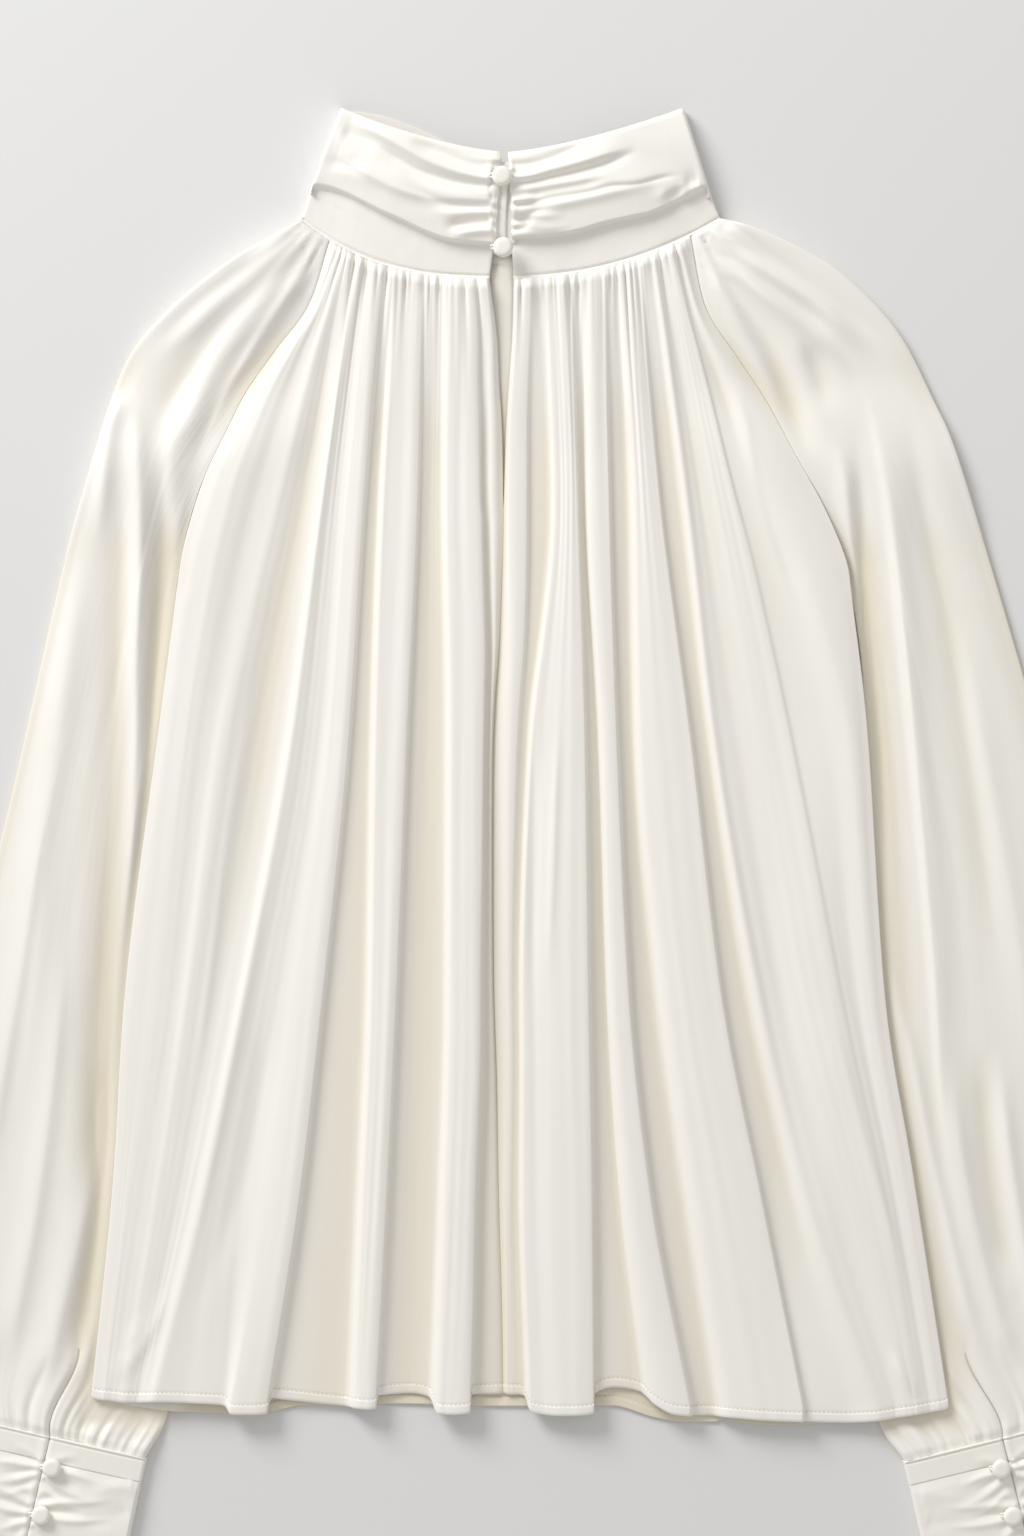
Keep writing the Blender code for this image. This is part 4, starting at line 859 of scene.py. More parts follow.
# A sleeve


def sleeve_patch(half):
    """The lines round a laid sleeve: its raglan seam and neck edge, its outer fold and its inner fold."""
    seam = OUTLINES[half.side]
    seam = seam[seam[:, 1] >= UNDERARM - 0.01][::-1]
    outs = np.linspace(half.raglan[0], half.neck_reach, 6)
    top = np.vstack([seam, np.stack([outs[1:], neck_seam(half, outs[1:])], axis=-1)])
    tip = (half.neck_reach, neck_seam(half, half.neck_reach))
    outer = smooth_path([tip, *half.shoulder, half.cuff_outer])
    return top, outer, INNER_FOLDS[half.side]


def sleeve_place(half, across, share):
    """Places on the laid sleeve, from its inner fold at 0 to its outer fold at 1."""
    top, outer, inner = sleeve_patch(half)
    # From the elbow down to near the cuff, stations crowd towards the inner fold
    lean = 0.64 * step(1.0, 0.9, share) * step(0.45, 0.75, share)
    across = across - lean * across * (1 - across)
    spread = across**0.8
    ring = along(top, np.broadcast_to(spread, np.broadcast(across, share).shape))
    chord = (1 - spread)[..., None] * top[0] + spread[..., None] * top[-1]
    blend = ((1 - share) * spread + share * across)[..., None]
    sides = (1 - blend) * along(inner, share) + blend * along(outer, share)
    spots = sides + (1 - share)[..., None] * (ring - chord)
    out, down = spots[..., 0], spots[..., 1]
    return np.where(down > UNDERARM, np.maximum(out, body_edge(half, down) - 0.5 + share), out), down


def cuff_frame(half):
    """The middle of the cuff seam, the direction across it, the direction down the arm, and its width."""
    outer, inner = np.array(half.cuff_outer), np.array(half.cuff_inner)
    width = np.linalg.norm(outer - inner)
    across = (outer - inner) / width
    return (outer + inner) / 2, across, np.array([across[1], -across[0]]), width


def sleeve_top(half, out, down, share, across):
    """The height of the laid sleeve's upper layer."""
    beyond = np.maximum(out - body_edge(half, down), (HEM - HEM_DROP - 2 - down) * 0.9)
    edge = body_edge(half, down)
    seam = back_floor(half, edge, down)
    low = between(STRIP_TOP, seam, step(UNDERARM + 15, UNDERARM + 75, down))
    full = step(0.5, 7, beyond) * step(0, 0.02, share)
    x = half.sign * out
    stronger = 1 + 0.25 * step(-300, -170, down)
    relief = 2.6 * step(4, 26, beyond) + stronger * crease_field(x, down, SLEEVE_CREASES[half.side])
    fabric = across * SLEEVE_WIDTH
    relief = relief + 0.4 * ripple(fabric, down, 24, 260, half.seed + 3) * step(0.05, 0.25, share)
    middle, _, arm, _ = cuff_frame(half)
    to_cuff = -((out - middle[0]) * arm[0] + (down - middle[1]) * arm[1])
    settle = step(60, 0, to_cuff)
    gathers = gathered(fabric, to_cuff, CUFF_GATHERS, half.seed)
    level = relief * full * (1 - 0.6 * settle) + (CUFF_TOP - 2.6 - low) * settle * step(2, 26, beyond)
    out_edge = np.clip(1 - across, 0, 1) * SLEEVE_WIDTH
    level = level - 1.6 * hump(out_edge, 4) * step(0.02, 0.1, share)
    from_neck = neck_seam(half, out) - down
    # Gathers fan out from the sleeve's narrow end at the neck
    fan = np.arctan2(down - half.neck_lift - 24, out - half.neck_reach + 30) * 46
    from_tip = np.hypot(out - half.neck_reach + 8, down - half.neck_lift + 4)
    neck = gathered(fan, from_tip, FAN_GATHERS, half.seed) * step(85, 25, from_tip)
    tucked = -0.5 * step(0.6, -0.2, out - edge) * step(UNDERARM - 4, UNDERARM + 4, down)
    tucked = tucked - 1.0 * step(1.5, -0.2, from_neck)
    gathers = gathers * (0.35 + 0.65 * step(2, 10, beyond)) * step(80, 25, to_cuff)
    return np.maximum(low + level + gathers + neck * step(-1, 8, out - edge) + tucked, 0.8)


def layer(shares, lift):
    """Stations across one layer of a flattened tube: share across, share of the height, outward push."""
    return [(share, lift, 0.0) for share in shares]


def fold_round(share, way):
    """Stations round a flattened tube's folded edge, from the upper layer to the lower one."""
    turns = np.radians(np.linspace(90, -90, 9))[1:-1]
    return [(share, 0.5 + 0.5 * np.sin(turn), way * np.cos(turn)) for turn in turns]


def ring_stations(top_cells, under_cells):
    """Stations round a flattened tube from its slit, and the side of the slit that each one is on."""
    half_way = 0.5 + 0.5 * np.linspace(0, 1, top_cells + 1)
    under = layer(np.linspace(1, 0, under_cells + 1), 0.0)
    ring = layer(half_way, 1.0) + fold_round(1.0, 1) + under
    ring += fold_round(0.0, -1)[::-1] + layer(1 - half_way[::-1], 1.0)
    side = np.zeros((len(ring), 1))
    side[0], side[-1] = 1.0, -1.0
    return np.hstack([ring, side])


def sleeve_points(half, ring, rows):
    """A sleeve as a flattened tube, from its neck end down to the cuff, open at the slit above it."""
    across, lift, push, side = np.hsplit(ring, 4)
    share = rows[None, :] + 0 * across
    across = across + 0 * share
    out, down = sleeve_place(half, across, share)
    _, cuff_line, _, _ = cuff_frame(half)
    top = sleeve_top(half, out, down, share, across)
    parted = side * SLIT_GAP * step(0.9, 0.94, share) + SLEEVE_BULGE * push * step(0, 0.05, share)
    slit_edge = (across - 0.5) * SLEEVE_WIDTH
    lap = 0.5 * hump(slit_edge - 2.6, 2.6) - 0.5 * hump(slit_edge, 0.9)
    height = lift * top + lap * (lift == 1.0) * step(0.88, 0.93, share)
    return placed(half, out + parted * cuff_line[0], down + parted * cuff_line[1], height)


# Neckband and collar


def neck_ring(top_cells, under_cells, placket=()):
    """Stations round one half of the neck, from the slit out and back."""
    over = layer([*placket, *np.linspace(0, 1, top_cells + 1)], 1.0)
    return np.array(over + fold_round(1.0, 1) + layer(np.linspace(1, 0, under_cells + 1), 0.0))


def band_points(half, ring, ups):
    """The plain band, from its piped seam at the neck to under the collar's hanging fold."""
    share, lift, push = np.hsplit(ring, 3)
    up = ups[None, :] + 0 * share
    reach = between(half.neck_reach, half.band_edge, up)
    gap = between(*half.band_ends, up)
    is_top = lift == 1.0
    out = np.where(is_top, between(gap, reach, share), share * reach) + TRIM_BULGE * push * up
    rise = np.where(lift == 0, FRONT_NECK_RISE * (1 - share**2), 0)
    low = neck_seam(half, out) - 0.9 + rise
    high = overhang_edge(half, out) + 2.0 + rise
    down = between(low, high, up)
    top = NECK_TOP + 1.4 * up - SIDE_DROP * step(0.6, 1, share)
    from_seam = down - neck_seam(half, out)
    tuck = -0.25 * hump(down - band_top(half, out) - 0.5, 0.6) * step(0.6, 0.9, share)
    piping = 0.9 * hump(from_seam, 0.7) - 0.9 * hump(from_seam - 1.5, 0.6) - 0.4 * step(-0.5, -1, from_seam)
    soft = 0.22 * ripple(half.sign * out, down * 3, 24, 60, half.seed + 30) * step(0, 5, from_seam)
    top = top + (piping + soft + tuck) * is_top - 0.5 * hump(out - gap, 0.8) * is_top
    under = 3.4 * step(14, 6, out) * (lift == 0)
    return placed(half, out, down, lift * top + under)


def overhang_edge(half, out):
    """How far up the collar's hanging fold lies over the band."""
    line = smooth_path(half.overhang)
    return np.interp(np.abs(out), line[:, 0], line[:, 1])


def collar_points(half, ring, ups):
    """The collar: a low strip above the band from -1 to 0, then the drape from its hanging fold up."""
    share, lift, push = np.hsplit(ring, 3)
    up = ups[None, :] + 0 * share
    drape = np.clip(up, 0, 1)
    strip = np.clip(up + 1, 0, 1)
    is_top = lift == 1.0
    reach = between(half.band_edge, half.collar_reach, drape)
    start = between(*half.collar_ends, step(0.1, 1, drape))
    # The strip that runs on from the left edge is flat and low
    beside = step(-0.002, -0.014, share)
    start = start + COLLAR_WAVE * np.sin(drape * 31) * (1 - beside)
    out = np.where(is_top, between(start, reach, share), share * reach) + COLLAR_BULGE * push
    placket = step(-0.002, -0.012, share) + 0.4 * step(-0.052, -0.069, share)
    share = np.clip(share, 0, 1)
    low = band_top(half, out) + 0.4
    fold_edge = overhang_edge(half, out)
    high = collar_top_edge(half, out) - NOTCH * beside
    down = np.where(up < 0, between(low, fold_edge, strip), between(fold_edge, high, drape))
    far = half.far_rise * np.sin(np.pi * share**1.7) - (NOTCH + 1.0) * (1 - share) ** 4
    beyond = FRONT_NECK_RISE * (1 - share**2) * (1 - np.clip((up + 1) / 2, 0, 1)) + far * drape
    down = down + beyond * (lift == 0)
    drape_top = between(COLLAR_EDGE_TOP, COLLAR_TOP, np.sin(np.pi * (0.22 + 0.6 * drape)))
    drape_top = drape_top - 3.0 * step(0.55, 1, share)
    near = step(0.42, 0.0, share)
    x = half.sign * out
    draw = np.random.default_rng(half.seed)
    pucker = np.zeros_like(up)
    for _ in range(4):
        turn, phase = draw.uniform(38, 75), draw.uniform(0, 6)
        pucker += 0.25 * np.sin(turn * drape + phase + 4 * share)
    relief = 1.6 * crease_field(x, down, COLLAR_CREASES[half.side])
    relief = relief + 0.8 * near**3 * pucker + 0.25 * ripple(down, x * 2.0, 17, 90, half.seed + 2)
    relief = relief * (1 - beside)
    bound = step(0, 0.02, 1 - drape) * 0.8 + 0.2
    drape_top = drape_top + relief * bound - 0.9 * hump(out - start, 0.9) - 2.8 * placket
    drape_top = drape_top - 1.3 * hump(high - down, 1.3)
    roll = step(0, 0.045 + 0.05 * step(0.7, 1, share), drape)
    sunk = NECK_TOP - 0.4 - SIDE_DROP * step(0.6, 1, share)
    top = np.where(up < 0, sunk, between(sunk, drape_top, 0.25 + 0.75 * roll))
    height = np.where(is_top, top, lift * np.maximum(drape_top, 2))
    return placed(half, out, down, np.maximum(height, COLLAR_BASE))


def joined_ring(make, top_cells, under_cells, ups, placket=()):
    """Both halves of a neck piece as one ring from slit to slit, rows from the top down."""
    left = make(LEFT, neck_ring(top_cells, under_cells, placket), ups[::-1])
    right = make(RIGHT, neck_ring(top_cells, under_cells), ups[::-1])
    return np.concatenate([left, right[::-1][1:]])


# Cuffs


def cuff_points(half, ring, depths, is_band):
    """A cuff's band or its ruched cloth as a flattened tube, from the sleeve down, open at the slit."""
    middle, direction, arm, width = cuff_frame(half)
    across, lift, push, side = np.hsplit(ring, 4)
    depth = depths[None, :] + 0 * across
    flare = 0 if is_band else (depth - BAND_DEPTH) / (CUFF_DEPTH - BAND_DEPTH)
    reach = (width / 2 + flare) * (2 * across - 1) + TRIM_BULGE * push + side * SLIT_GAP
    top = CUFF_TOP - np.abs(2 * across - 1) ** 3
    if is_band:
        top = top - BAND_TUCK * step(-0.1, -0.8, depth)
    from_slit = np.abs(reach)
    creases = crease_field(from_slit + 0 * depth, depth + 0.035 * half.sign * reach, CUFF_CREASES)
    mirrored = np.where(half.sign * reach > 0, 1.0, 0.8)
    if is_band:
        relief = 0.5 * creases + 0.6 * hump(depth, 0.6) - 0.45 * hump(depth - 1.3, 0.45)
    else:
        soft = 0.25 * ripple(depth, reach * 1.5, 13, 80, half.seed + 6)
        relief = 0.7 * step(BAND_DEPTH, BAND_DEPTH + 6, depth) + mirrored * creases + soft
        relief = relief - 0.2 * step(BAND_DEPTH + 0.5, BAND_DEPTH, depth)
        relief = relief - 0.8 * hump(depth - CUFF_DEPTH, 0.9)
    slit = 0.9 * hump(from_slit, 0.9) - 0.5 * hump(reach - 2.2, 2.2)
    top = top + (relief - slit) * (lift == 1.0)
    spots = middle + direction * reach[..., None] + arm * depth[..., None]
    return placed(half, spots[..., 0], spots[..., 1], lift * top)


# Buttons, loops and stitches


def button_piece(name, node, material):
    """A covered button: a dome turned by spinning its profile, with cloth drawn under its rim."""
    low, high = (np.array(corner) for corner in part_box(node))
    middle, radius, tall = (low + high) / 2, (high[0] - low[0]) / 2, high[2] - low[2]
    deselect()
    bpy.ops.mesh.primitive_uv_sphere_add(segments=64, ring_count=32, radius=1)
    piece = new_piece(name)
    spots = vertex_places(piece.data)
    around = np.arctan2(spots[:, 1], spots[:, 0])
    flat = np.hypot(spots[:, 0], spots[:, 1])
    up = spots[:, 2]
    wide = np.where(up > 0, flat**0.62, flat**0.8)
    rim = hump(up + 0.35, 0.3) * 0.015 * np.sin(around * 23)
    rise = np.where(up > 0, 0.30 + 0.70 * (1 - (1 - np.clip(up, 0, 1)) ** 1.5), 0.30 + 0.30 * up)
    wide = np.where(up < -0.6, wide * (1 - 0.25 * (-up - 0.6)), wide) + rim
    turned = np.stack([np.cos(around) * wide * radius, np.sin(around) * wide * radius, rise * tall], axis=-1)
    turned[:, :2] += middle[:2]
    turned[:, 2] += low[2]
    piece.data.vertices.foreach_set("co", turned.ravel())
    piece.data.update()
    return made_of(piece, material)


def loop_piece(name, node, material):
    """A button loop: a thin rouleau of the same cloth, from the edge of the slit round the button's foot."""
    low, high = (np.array(corner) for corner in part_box(node))
    middle, radius = (low + high) / 2, (high[0] - low[0]) / 2
    turn = np.radians(np.linspace(150, 390, 22))
    path = np.stack([np.cos(turn) * radius * 0.78, np.sin(turn) * radius * 0.62, 0 * turn], axis=-1)
    ends = np.array([(-radius * 1.3, radius * 0.16, 0), (-radius * 1.0, radius * 0.24, 0)])
    tails = np.array([(-radius * 1.0, -0.1 * radius, 0), (-radius * 1.25, -0.05 * radius, 0)])
    path = np.vstack([ends, path, tails])
    path = smooth_path(path, 4) + middle
    path[:, 2] = low[2] + LOOP_LEVEL * MM
    thick = LOOP_THICK * MM
    sides = np.radians(np.linspace(0, 360, 9))
    along_path = np.gradient(path, axis=0)
    along_path /= np.linalg.norm(along_path, axis=1)[:, None]
    flatwise = np.stack([-along_path[:, 1], along_path[:, 0], 0 * along_path[:, 0]], axis=-1)
    points = path[None] + thick * (
        np.cos(sides)[:, None, None] * flatwise[None] + np.sin(sides)[:, None, None] * np.array([0, 0, 1.0])
    )
    return cloth_piece(name, points, True, LOOP_WALL, material)


def stitch_piece(name, paths, material):
    """Rows of stitches: one small spindle, copied along each path in one mesh."""
    deselect()
    bpy.ops.mesh.primitive_uv_sphere_add(segments=6, ring_count=4, radius=1)
    piece = new_piece(name)
    one = vertex_places(piece.data)
    faces = [tuple(face.vertices) for face in piece.data.polygons]
    spots, cells = [], []
    for path in paths:
        lengths = lengths_along(path)
        places = np.arange(STITCH_SPACING / 2, lengths[-1] / MM, STITCH_SPACING) * MM
        for place in places:
            start, end = (
                np.array([np.interp(place + shift, lengths, column) for column in path.T])
                for shift in (-STITCH_LENGTH * MM / 2, STITCH_LENGTH * MM / 2)
            )
            run = (end - start) / 2
            side = np.cross(run, (0, 0, 1))
            side *= STITCH_THICK * MM / 2 / np.linalg.norm(side)
            cells += [tuple(len(spots) * len(one) + corner for corner in face) for face in faces]
            raised = np.array((0, 0, STITCH_THICK * MM / 2))
            spots.append((start + end) / 2 + one[:, 2:] * run + one[:, :1] * side + one[:, 1:2] * raised)
    piece.data.clear_geometry()
    piece.data.from_pydata(np.concatenate(spots).tolist(), [], cells)
    return made_of(piece, material)


# Materials


def linear(colour):
    """An sRGB hex colour in linear light."""
    shares = (int(colour[start : start + 2], 16) / 255 for start in (1, 3, 5))
    return tuple(s / 12.92 if s <= 0.04045 else ((s + 0.055) / 1.055) ** 2.4 for s in shares) + (1.0,)


def add_node(tree, kind, settings=None, inputs=None, links=None):
    """Adds a node with its settings, its inputs' values and the sockets that feed it."""
    node = tree.nodes.new(kind)
    for name, value in (settings or {}).items():
        setattr(node, name, value)
    for name, value in (inputs or {}).items():
        node.inputs[name].default_value = value
    for name, source in (links or {}).items():
        tree.links.new(source, node.inputs[name])
    return node


def new_material(name, values):
    """A material and its shader, with values on the shader's inputs."""
    material = bpy.data.materials.new(name)
    material.use_nodes = True
    shader = material.node_tree.nodes["Principled BSDF"]
    for socket, value in values.items():
        shader.inputs[socket].default_value = value
    return material, shader


SATIN_SHINE = {"IOR": 1.5, "Specular IOR Level": 0.7, "Sheen Weight": 0.2, "Sheen Roughness": 0.35}

# The satin's relief, finest first: its scale across and along, how rough it is, and the strength and
# depth of its shading. Floats of the weave lie about 0.1 mm apart; they are drawn 0.5 mm apart, so that
# they show at all. Faint creases of wear run lengthwise, some 6 mm apart.
SATIN_RELIEF = (
    ((20.0, 1.6, 1.0), 0.6, 0.25, 0.00006),
    ((1.7, 0.16, 1.0), 0.5, 0.5, 0.0003),
)


def charmeuse(name, light, deep, fold, roughness):
    """Charmeuse: a satin-woven silk or polyester. Its long floats give it a soft, wide shine. Light that
    bounces on in a fold comes out creamy. That is painted shade here: cloth that lies low takes the colour
    called fold in its base colour."""
    material, shader = new_material(name, {"Roughness": roughness, **SATIN_SHINE})
    tree = material.node_tree
    spot = add_node(tree, "ShaderNodeTexCoord")
    # Dye and pressing vary over some 40 mm
    cloud = add_node(
        tree, "ShaderNodeTexNoise", inputs={"Scale": 25.0, "Detail": 3.0, "Roughness": 0.55},
        links={"Vector": spot.outputs["Object"]},
    )
    tint = add_node(
        tree, "ShaderNodeMix", {"data_type": "RGBA"}, {"A": linear(light), "B": linear(deep)},
        {"Factor": cloud.outputs["Fac"]},
    )
    # Painted shade: by its height, cloth that lies low is mixed towards the fold colour, for the creamy light
    # bounced in folds
    lying = add_node(tree, "ShaderNodeSeparateXYZ", links={"Vector": spot.outputs["Object"]})
    crest = add_node(
        tree, "ShaderNodeMapRange", {"interpolation_type": "SMOOTHSTEP"},
        {"From Min": PAINTED_FOLD_SHADE_LOW * MM, "From Max": PAINTED_FOLD_SHADE_HIGH * MM}, {"Value": lying.outputs["Z"]},
    )
    painted_fold_shade = add_node(
        tree, "ShaderNodeMix", {"data_type": "RGBA"}, {"A": linear(fold)},
        {"Factor": crest.outputs["Result"], "B": tint.outputs["Result"]},
    )
    tree.links.new(painted_fold_shade.outputs["Result"], shader.inputs["Base Color"])
    below = {}
    for stretch, rough, strength, depth in SATIN_RELIEF:
        pattern = add_node(
            tree, "ShaderNodeMapping", inputs={"Scale": stretch}, links={"Vector": spot.outputs["UV"]}
        )
        relief = add_node(
            tree, "ShaderNodeTexNoise", inputs={"Scale": 1.0, "Detail": 2.0, "Roughness": rough},
            links={"Vector": pattern.outputs["Vector"]},
        )
        bump = add_node(
            tree, "ShaderNodeBump", inputs={"Strength": strength, "Distance": depth},
            links={"Height": relief.outputs["Fac"], **below},
        )
        below = {"Normal": bump.outputs["Normal"]}
    tree.links.new(bump.outputs["Normal"], shader.inputs["Normal"])
    return material


def plain_floor(colour):
    """Matt painted board: no shine, so it takes only soft shadows."""
    board = {"Base Color": linear(colour), "Roughness": 0.9, "Specular IOR Level": 0.2}
    return new_material("matt painted board", board)[0]


def material_called(kind):
    """The cloth or thread of that name, made when it is first asked for."""
    settings = bpy.context.scene.blouse_cloth
    if kind not in bpy.data.materials:
        # Each cloth's ivory and deep ivory, then the colour of its painted fold shade
        tones_and_fold_shades = {
            BODY_CLOTH: (settings.light, settings.deep, settings.fold),
            TRIM_CLOTH: (settings.trim_light, settings.trim_deep_and_fold_shade, settings.trim_deep_and_fold_shade),
            THREAD: (settings.thread, settings.thread, settings.thread),
        }
        charmeuse(kind, *tones_and_fold_shades[kind], settings.roughness)
    return bpy.data.materials[kind]


def colour_setting(name, use, default):
    """A setting that holds an sRGB colour."""
    return StringProperty(name=name, description=f"sRGB colour {use}", default=default)


class ClothSettings(bpy.types.PropertyGroup):
    thickness: FloatProperty(
        name="Cloth thickness", description="Thickness of the satin, in millimetres",
        default=0.35, min=0.1, max=1.0,
    )
    roughness: FloatProperty(
        name="Roughness", description="How dull the satin is", default=0.34, min=0, max=1, subtype="FACTOR"
    )
    light: colour_setting("Ivory", "of the cloth", "#F9F7F3")
    deep: colour_setting("Deep ivory", "where it is a little yellower", "#F7F4ED")
    # The fold colour is painted shade: the creamy light bounced in folds, given to cloth that lies low
    fold: colour_setting("Fold", "of the cloth deep in a fold", "#EBE2CF")
    trim_light: colour_setting("Trim ivory", "of the doubled cloth", "#FBF9F4")
    # The trim's deep ivory is both its random yellower tone and its painted fold shade
    trim_deep_and_fold_shade: colour_setting("Trim deep ivory", "where the doubled cloth is yellower", "#F8F5EE")
    thread: colour_setting("Thread", "of the hem stitches", "#D6CBB2")


class StageSettings(bpy.types.PropertyGroup):
    floor: colour_setting("Floor", "of the floor", "#E6E6E7")
    key_colour: colour_setting("Key colour", "of the large light", "#FFFFFF")
    fill_colour: colour_setting("Fill colour", "of the light from all round", "#FFFDF9")
    key: FloatProperty(
        name="Key light", description="Power of the large light", default=93.0, min=0, unit="POWER"
    )
    fill: FloatProperty(
        name="Fill light", description="Strength of the light from all round", default=0.55, min=0
    )


class BLOUSE_OT_backs(bpy.types.Operator):
    """Lays the two halves of the back with their folds"""

    bl_idname = "blouse.backs"
    bl_label = "Backs"

    def execute(self, context):
        for half in HALVES:
            points = back_points(half, back_stations(half), back_rows())
            piece = sew(f"back_panel_{half.side}", points, False, "body_satin", f"back_{half.side}")
        return {"FINISHED"}


class BLOUSE_OT_front(bpy.types.Operator):
    """Lays the front under the backs"""

    bl_idname = "blouse.front"
    bl_label = "Front"

    def execute(self, context):
        columns = np.r_[np.linspace(-1, -0.0001, 75), np.linspace(0, 1, 76)]
        rows = np.r_[np.linspace(0, 0.98, 110), np.linspace(0.9815, 1, 15)]
        piece = sew("front_panel", front_points(columns, rows), False, "body_satin", "front")
        return {"FINISHED"}


class BLOUSE_OT_sleeves(bpy.types.Operator):
    """Lays the full sleeves, gathered at neck and cuff"""

    bl_idname = "blouse.sleeves"
    bl_label = "Sleeves"

    def execute(self, context):
        rows = in_runs((0, 0.02, 8), (0.02, 0.9, 130), (0.9, 1, 52))
        for half in HALVES:
            points = sleeve_points(half, ring_stations(52, 10), rows)
            piece = sew(f"sleeve_cloth_{half.side}", points, True, "body_satin", f"sleeve_{half.side}")
        return {"FINISHED"}


class BLOUSE_OT_collar(bpy.types.Operator):
    """Adds the plain neckband and the draped collar above it"""

    bl_idname = "blouse.collar"
    bl_label = "Neckband and collar"

    def execute(self, context):
        ups = in_runs((0, 0.2, 9), (0.2, 1, 18))
        points = joined_ring(band_points, 110, 24, ups)
        band = sew("neckband_cloth", points, True, "trim_satin", "neckband")
        ups = in_runs((-1, 0, 8), (0, 0.05, 6), (0.05, 0.97, 74), (0.97, 1, 5))
        points = joined_ring(collar_points, 130, 24, ups, PLACKET)
        collar = sew("collar_drape", points, True, "trim_satin", "collar")
        return {"FINISHED"}


class BLOUSE_OT_cuffs(bpy.types.Operator):
    """Adds the cuff bands and the ruched cuffs"""

    bl_idname = "blouse.cuffs"
    bl_label = "Cuffs"

    def execute(self, context):
        ring = ring_stations(60, 16)
        band_rows = in_runs((-0.8, 3, 11), (3, BAND_DEPTH + 0.3, 12))
        cuff_rows = in_runs((BAND_DEPTH - 0.6, CUFF_DEPTH - 1.5, 58), (CUFF_DEPTH - 1.5, CUFF_DEPTH, 5))
        for half in HALVES:
            points = cuff_points(half, ring, band_rows, True)
            band = sew(f"cuff_band_cloth_{half.side}", points, True, "trim_satin", f"cuff_band_{half.side}")
            points = cuff_points(half, ring, cuff_rows, False)
            cuff = sew(f"cuff_cloth_{half.side}", points, True, "trim_satin", f"cuff_{half.side}")
        return {"FINISHED"}


class BLOUSE_OT_buttons(bpy.types.Operator):
    """Adds the covered buttons and their loops"""

    bl_idname = "blouse.buttons"
    bl_label = "Buttons and loops"

    def execute(self, context):
        names = [f"neck_{name}" for name, _, _ in NECK_BUTTONS]
        names += [f"cuff_{half.side}_{number}" for half in HALVES for number in (1, 2)]
        for name in names:
            piece = button_piece(f"covered_button_{name}", f"button_{name}", material_called(TRIM_CLOTH))
            finish(piece, f"button_{name}")
            loop = loop_piece(f"button_loop_{name}", f"button_{name}", material_called(TRIM_CLOTH))
            finish(loop)
        return {"FINISHED"}


class BLOUSE_OT_stitches(bpy.types.Operator):
    """Sews the hem: small stitches along its turned edge"""

    bl_idname = "blouse.stitches"
    bl_label = "Stitching"

    def execute(self, context):
        # Stitches lie just over the cloth, and begin a little way in from the seams
        lift = np.array((0, 0, 0.1 * MM))
        row = np.array([1 - HEM_STITCH / BACK_LENGTH])
        paths = []
        for half in HALVES:
            stations = np.linspace(0.3, len(back_knots(half)[0]) - 1.2, 700)
            paths.append(back_points(half, stations, row)[:, 0] + lift)
        paths.append(front_points(np.linspace(-0.97, 0.97, 400), row)[:, 0] + lift)
        finish(stitch_piece("hem_stitches", paths, material_called(THREAD)))
        return {"FINISHED"}


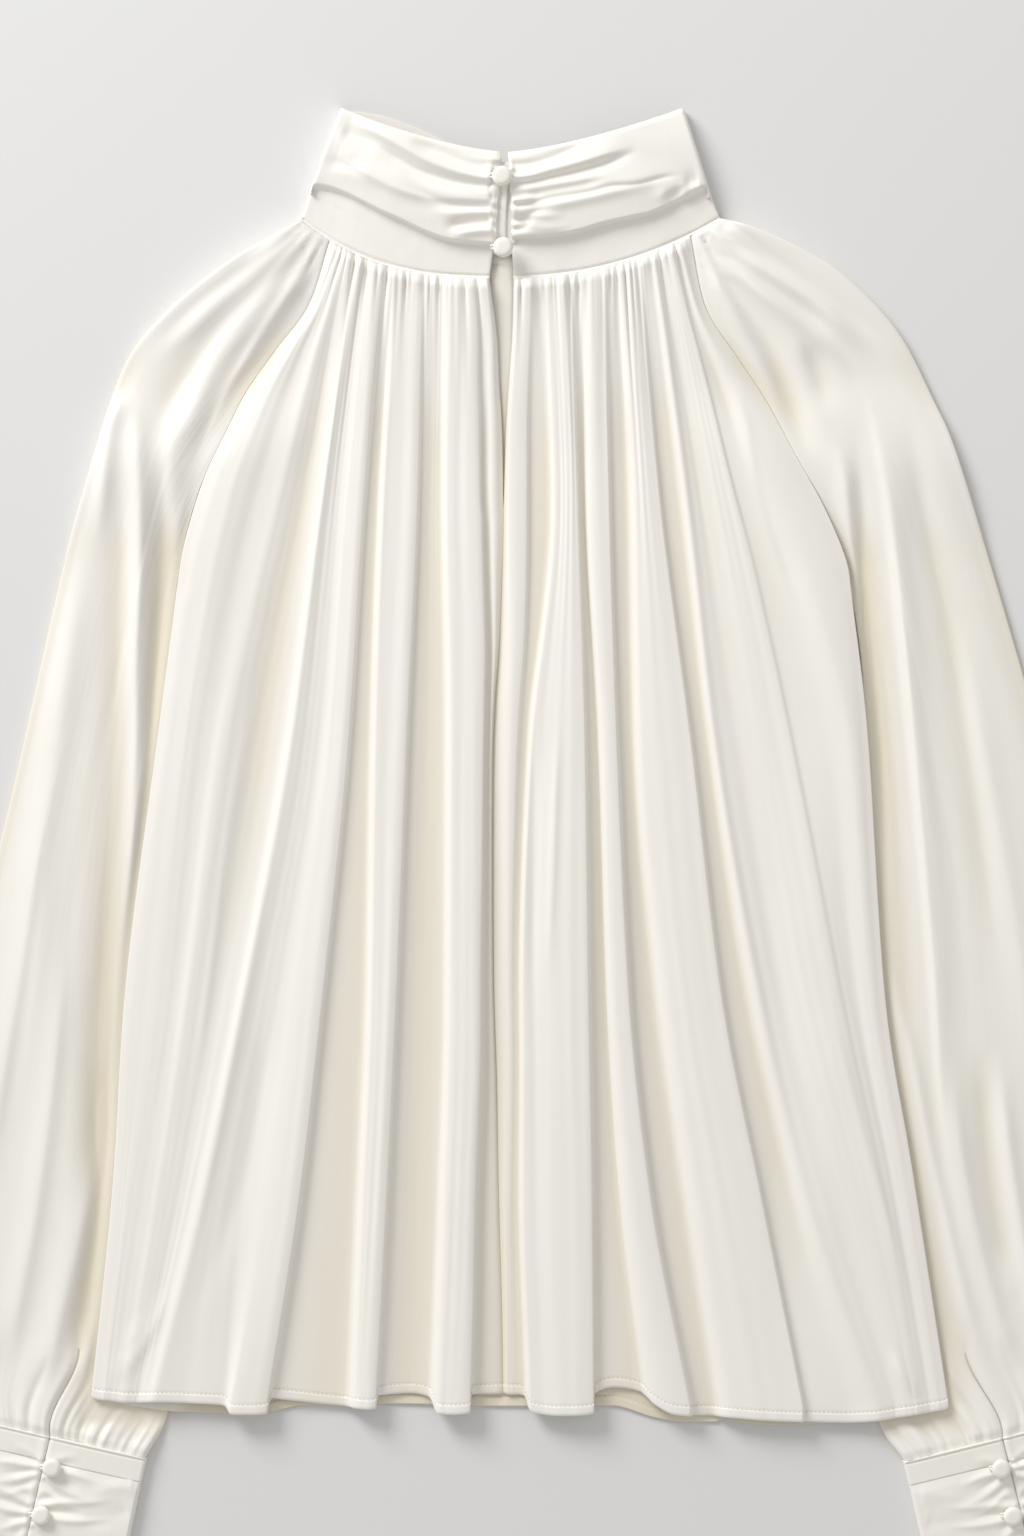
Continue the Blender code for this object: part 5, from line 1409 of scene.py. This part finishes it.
class BLOUSE_OT_stage(bpy.types.Operator):
    """Adds the floor, the soft lights and the camera straight above"""

    bl_idname = "blouse.stage"
    bl_label = "Stage"

    def execute(self, context):
        stage = context.scene.blouse_stage
        scene = context.scene
        deselect()
        bpy.ops.mesh.primitive_plane_add(size=FLOOR_SIZE)
        floor = bpy.context.object
        floor.name = "floor"
        floor.data.materials.append(plain_floor(stage.floor))
        right, up = (place * MM + shift for place, shift in zip(CAMERA_PLACE, SHIFT))
        bpy.ops.object.camera_add(location=(right, up, (LENS * FRAME_HEIGHT / SENSOR + CLOTH_LEVEL) * MM))
        camera = bpy.context.object
        camera.data.sensor_fit = "VERTICAL"
        camera.data.sensor_height = SENSOR
        camera.data.lens = LENS
        camera.data.clip_end = FAR_CLIP
        scene.camera = camera
        bpy.ops.object.light_add(type="AREA", location=KEY_PLACE)
        key = bpy.context.object
        key.name = "key_light"
        key.data.shape = "DISK"
        key.data.size = KEY_SIZE
        key.data.energy = stage.key
        key.data.color = linear(stage.key_colour)[:3]
        key.rotation_euler = (-key.location).to_track_quat("-Z", "Y").to_euler()
        world = bpy.data.worlds.new("soft studio")
        world.use_nodes = True
        light = world.node_tree.nodes["Background"]
        light.inputs["Color"].default_value = linear(stage.fill_colour)
        light.inputs["Strength"].default_value = stage.fill
        scene.world = world
        scene.view_settings.view_transform = "Standard"
        return {"FINISHED"}


class BLOUSE_PT_panel(bpy.types.Panel):
    """Lists the steps that dress the blouse"""

    bl_idname = "BLOUSE_PT_panel"
    bl_label = "Laid blouse"
    bl_space_type = "VIEW_3D"
    bl_region_type = "UI"
    bl_category = "Blouse"

    def draw(self, context):
        for group in (context.scene.blouse_cloth, context.scene.blouse_stage):
            for name in group.__annotations__:
                self.layout.prop(group, name)
        for operator in OPERATORS:
            self.layout.operator(operator.bl_idname)


OPERATORS = (
    BLOUSE_OT_stage,
    BLOUSE_OT_front,
    BLOUSE_OT_backs,
    BLOUSE_OT_sleeves,
    BLOUSE_OT_collar,
    BLOUSE_OT_cuffs,
    BLOUSE_OT_buttons,
    BLOUSE_OT_stitches,
)
CLASSES = (ClothSettings, StageSettings, *OPERATORS, BLOUSE_PT_panel)


def register():
    for item in CLASSES:
        bpy.utils.register_class(item)
    bpy.types.Scene.blouse_cloth = PointerProperty(type=ClothSettings)
    bpy.types.Scene.blouse_stage = PointerProperty(type=StageSettings)


def unregister():
    del bpy.types.Scene.blouse_stage
    del bpy.types.Scene.blouse_cloth
    for item in reversed(CLASSES):
        bpy.utils.unregister_class(item)


def main():
    register()
    for operator in OPERATORS:
        group, name = operator.bl_idname.split(".")
        getattr(getattr(bpy.ops, group), name)()


if __name__ == "__main__":
    main()
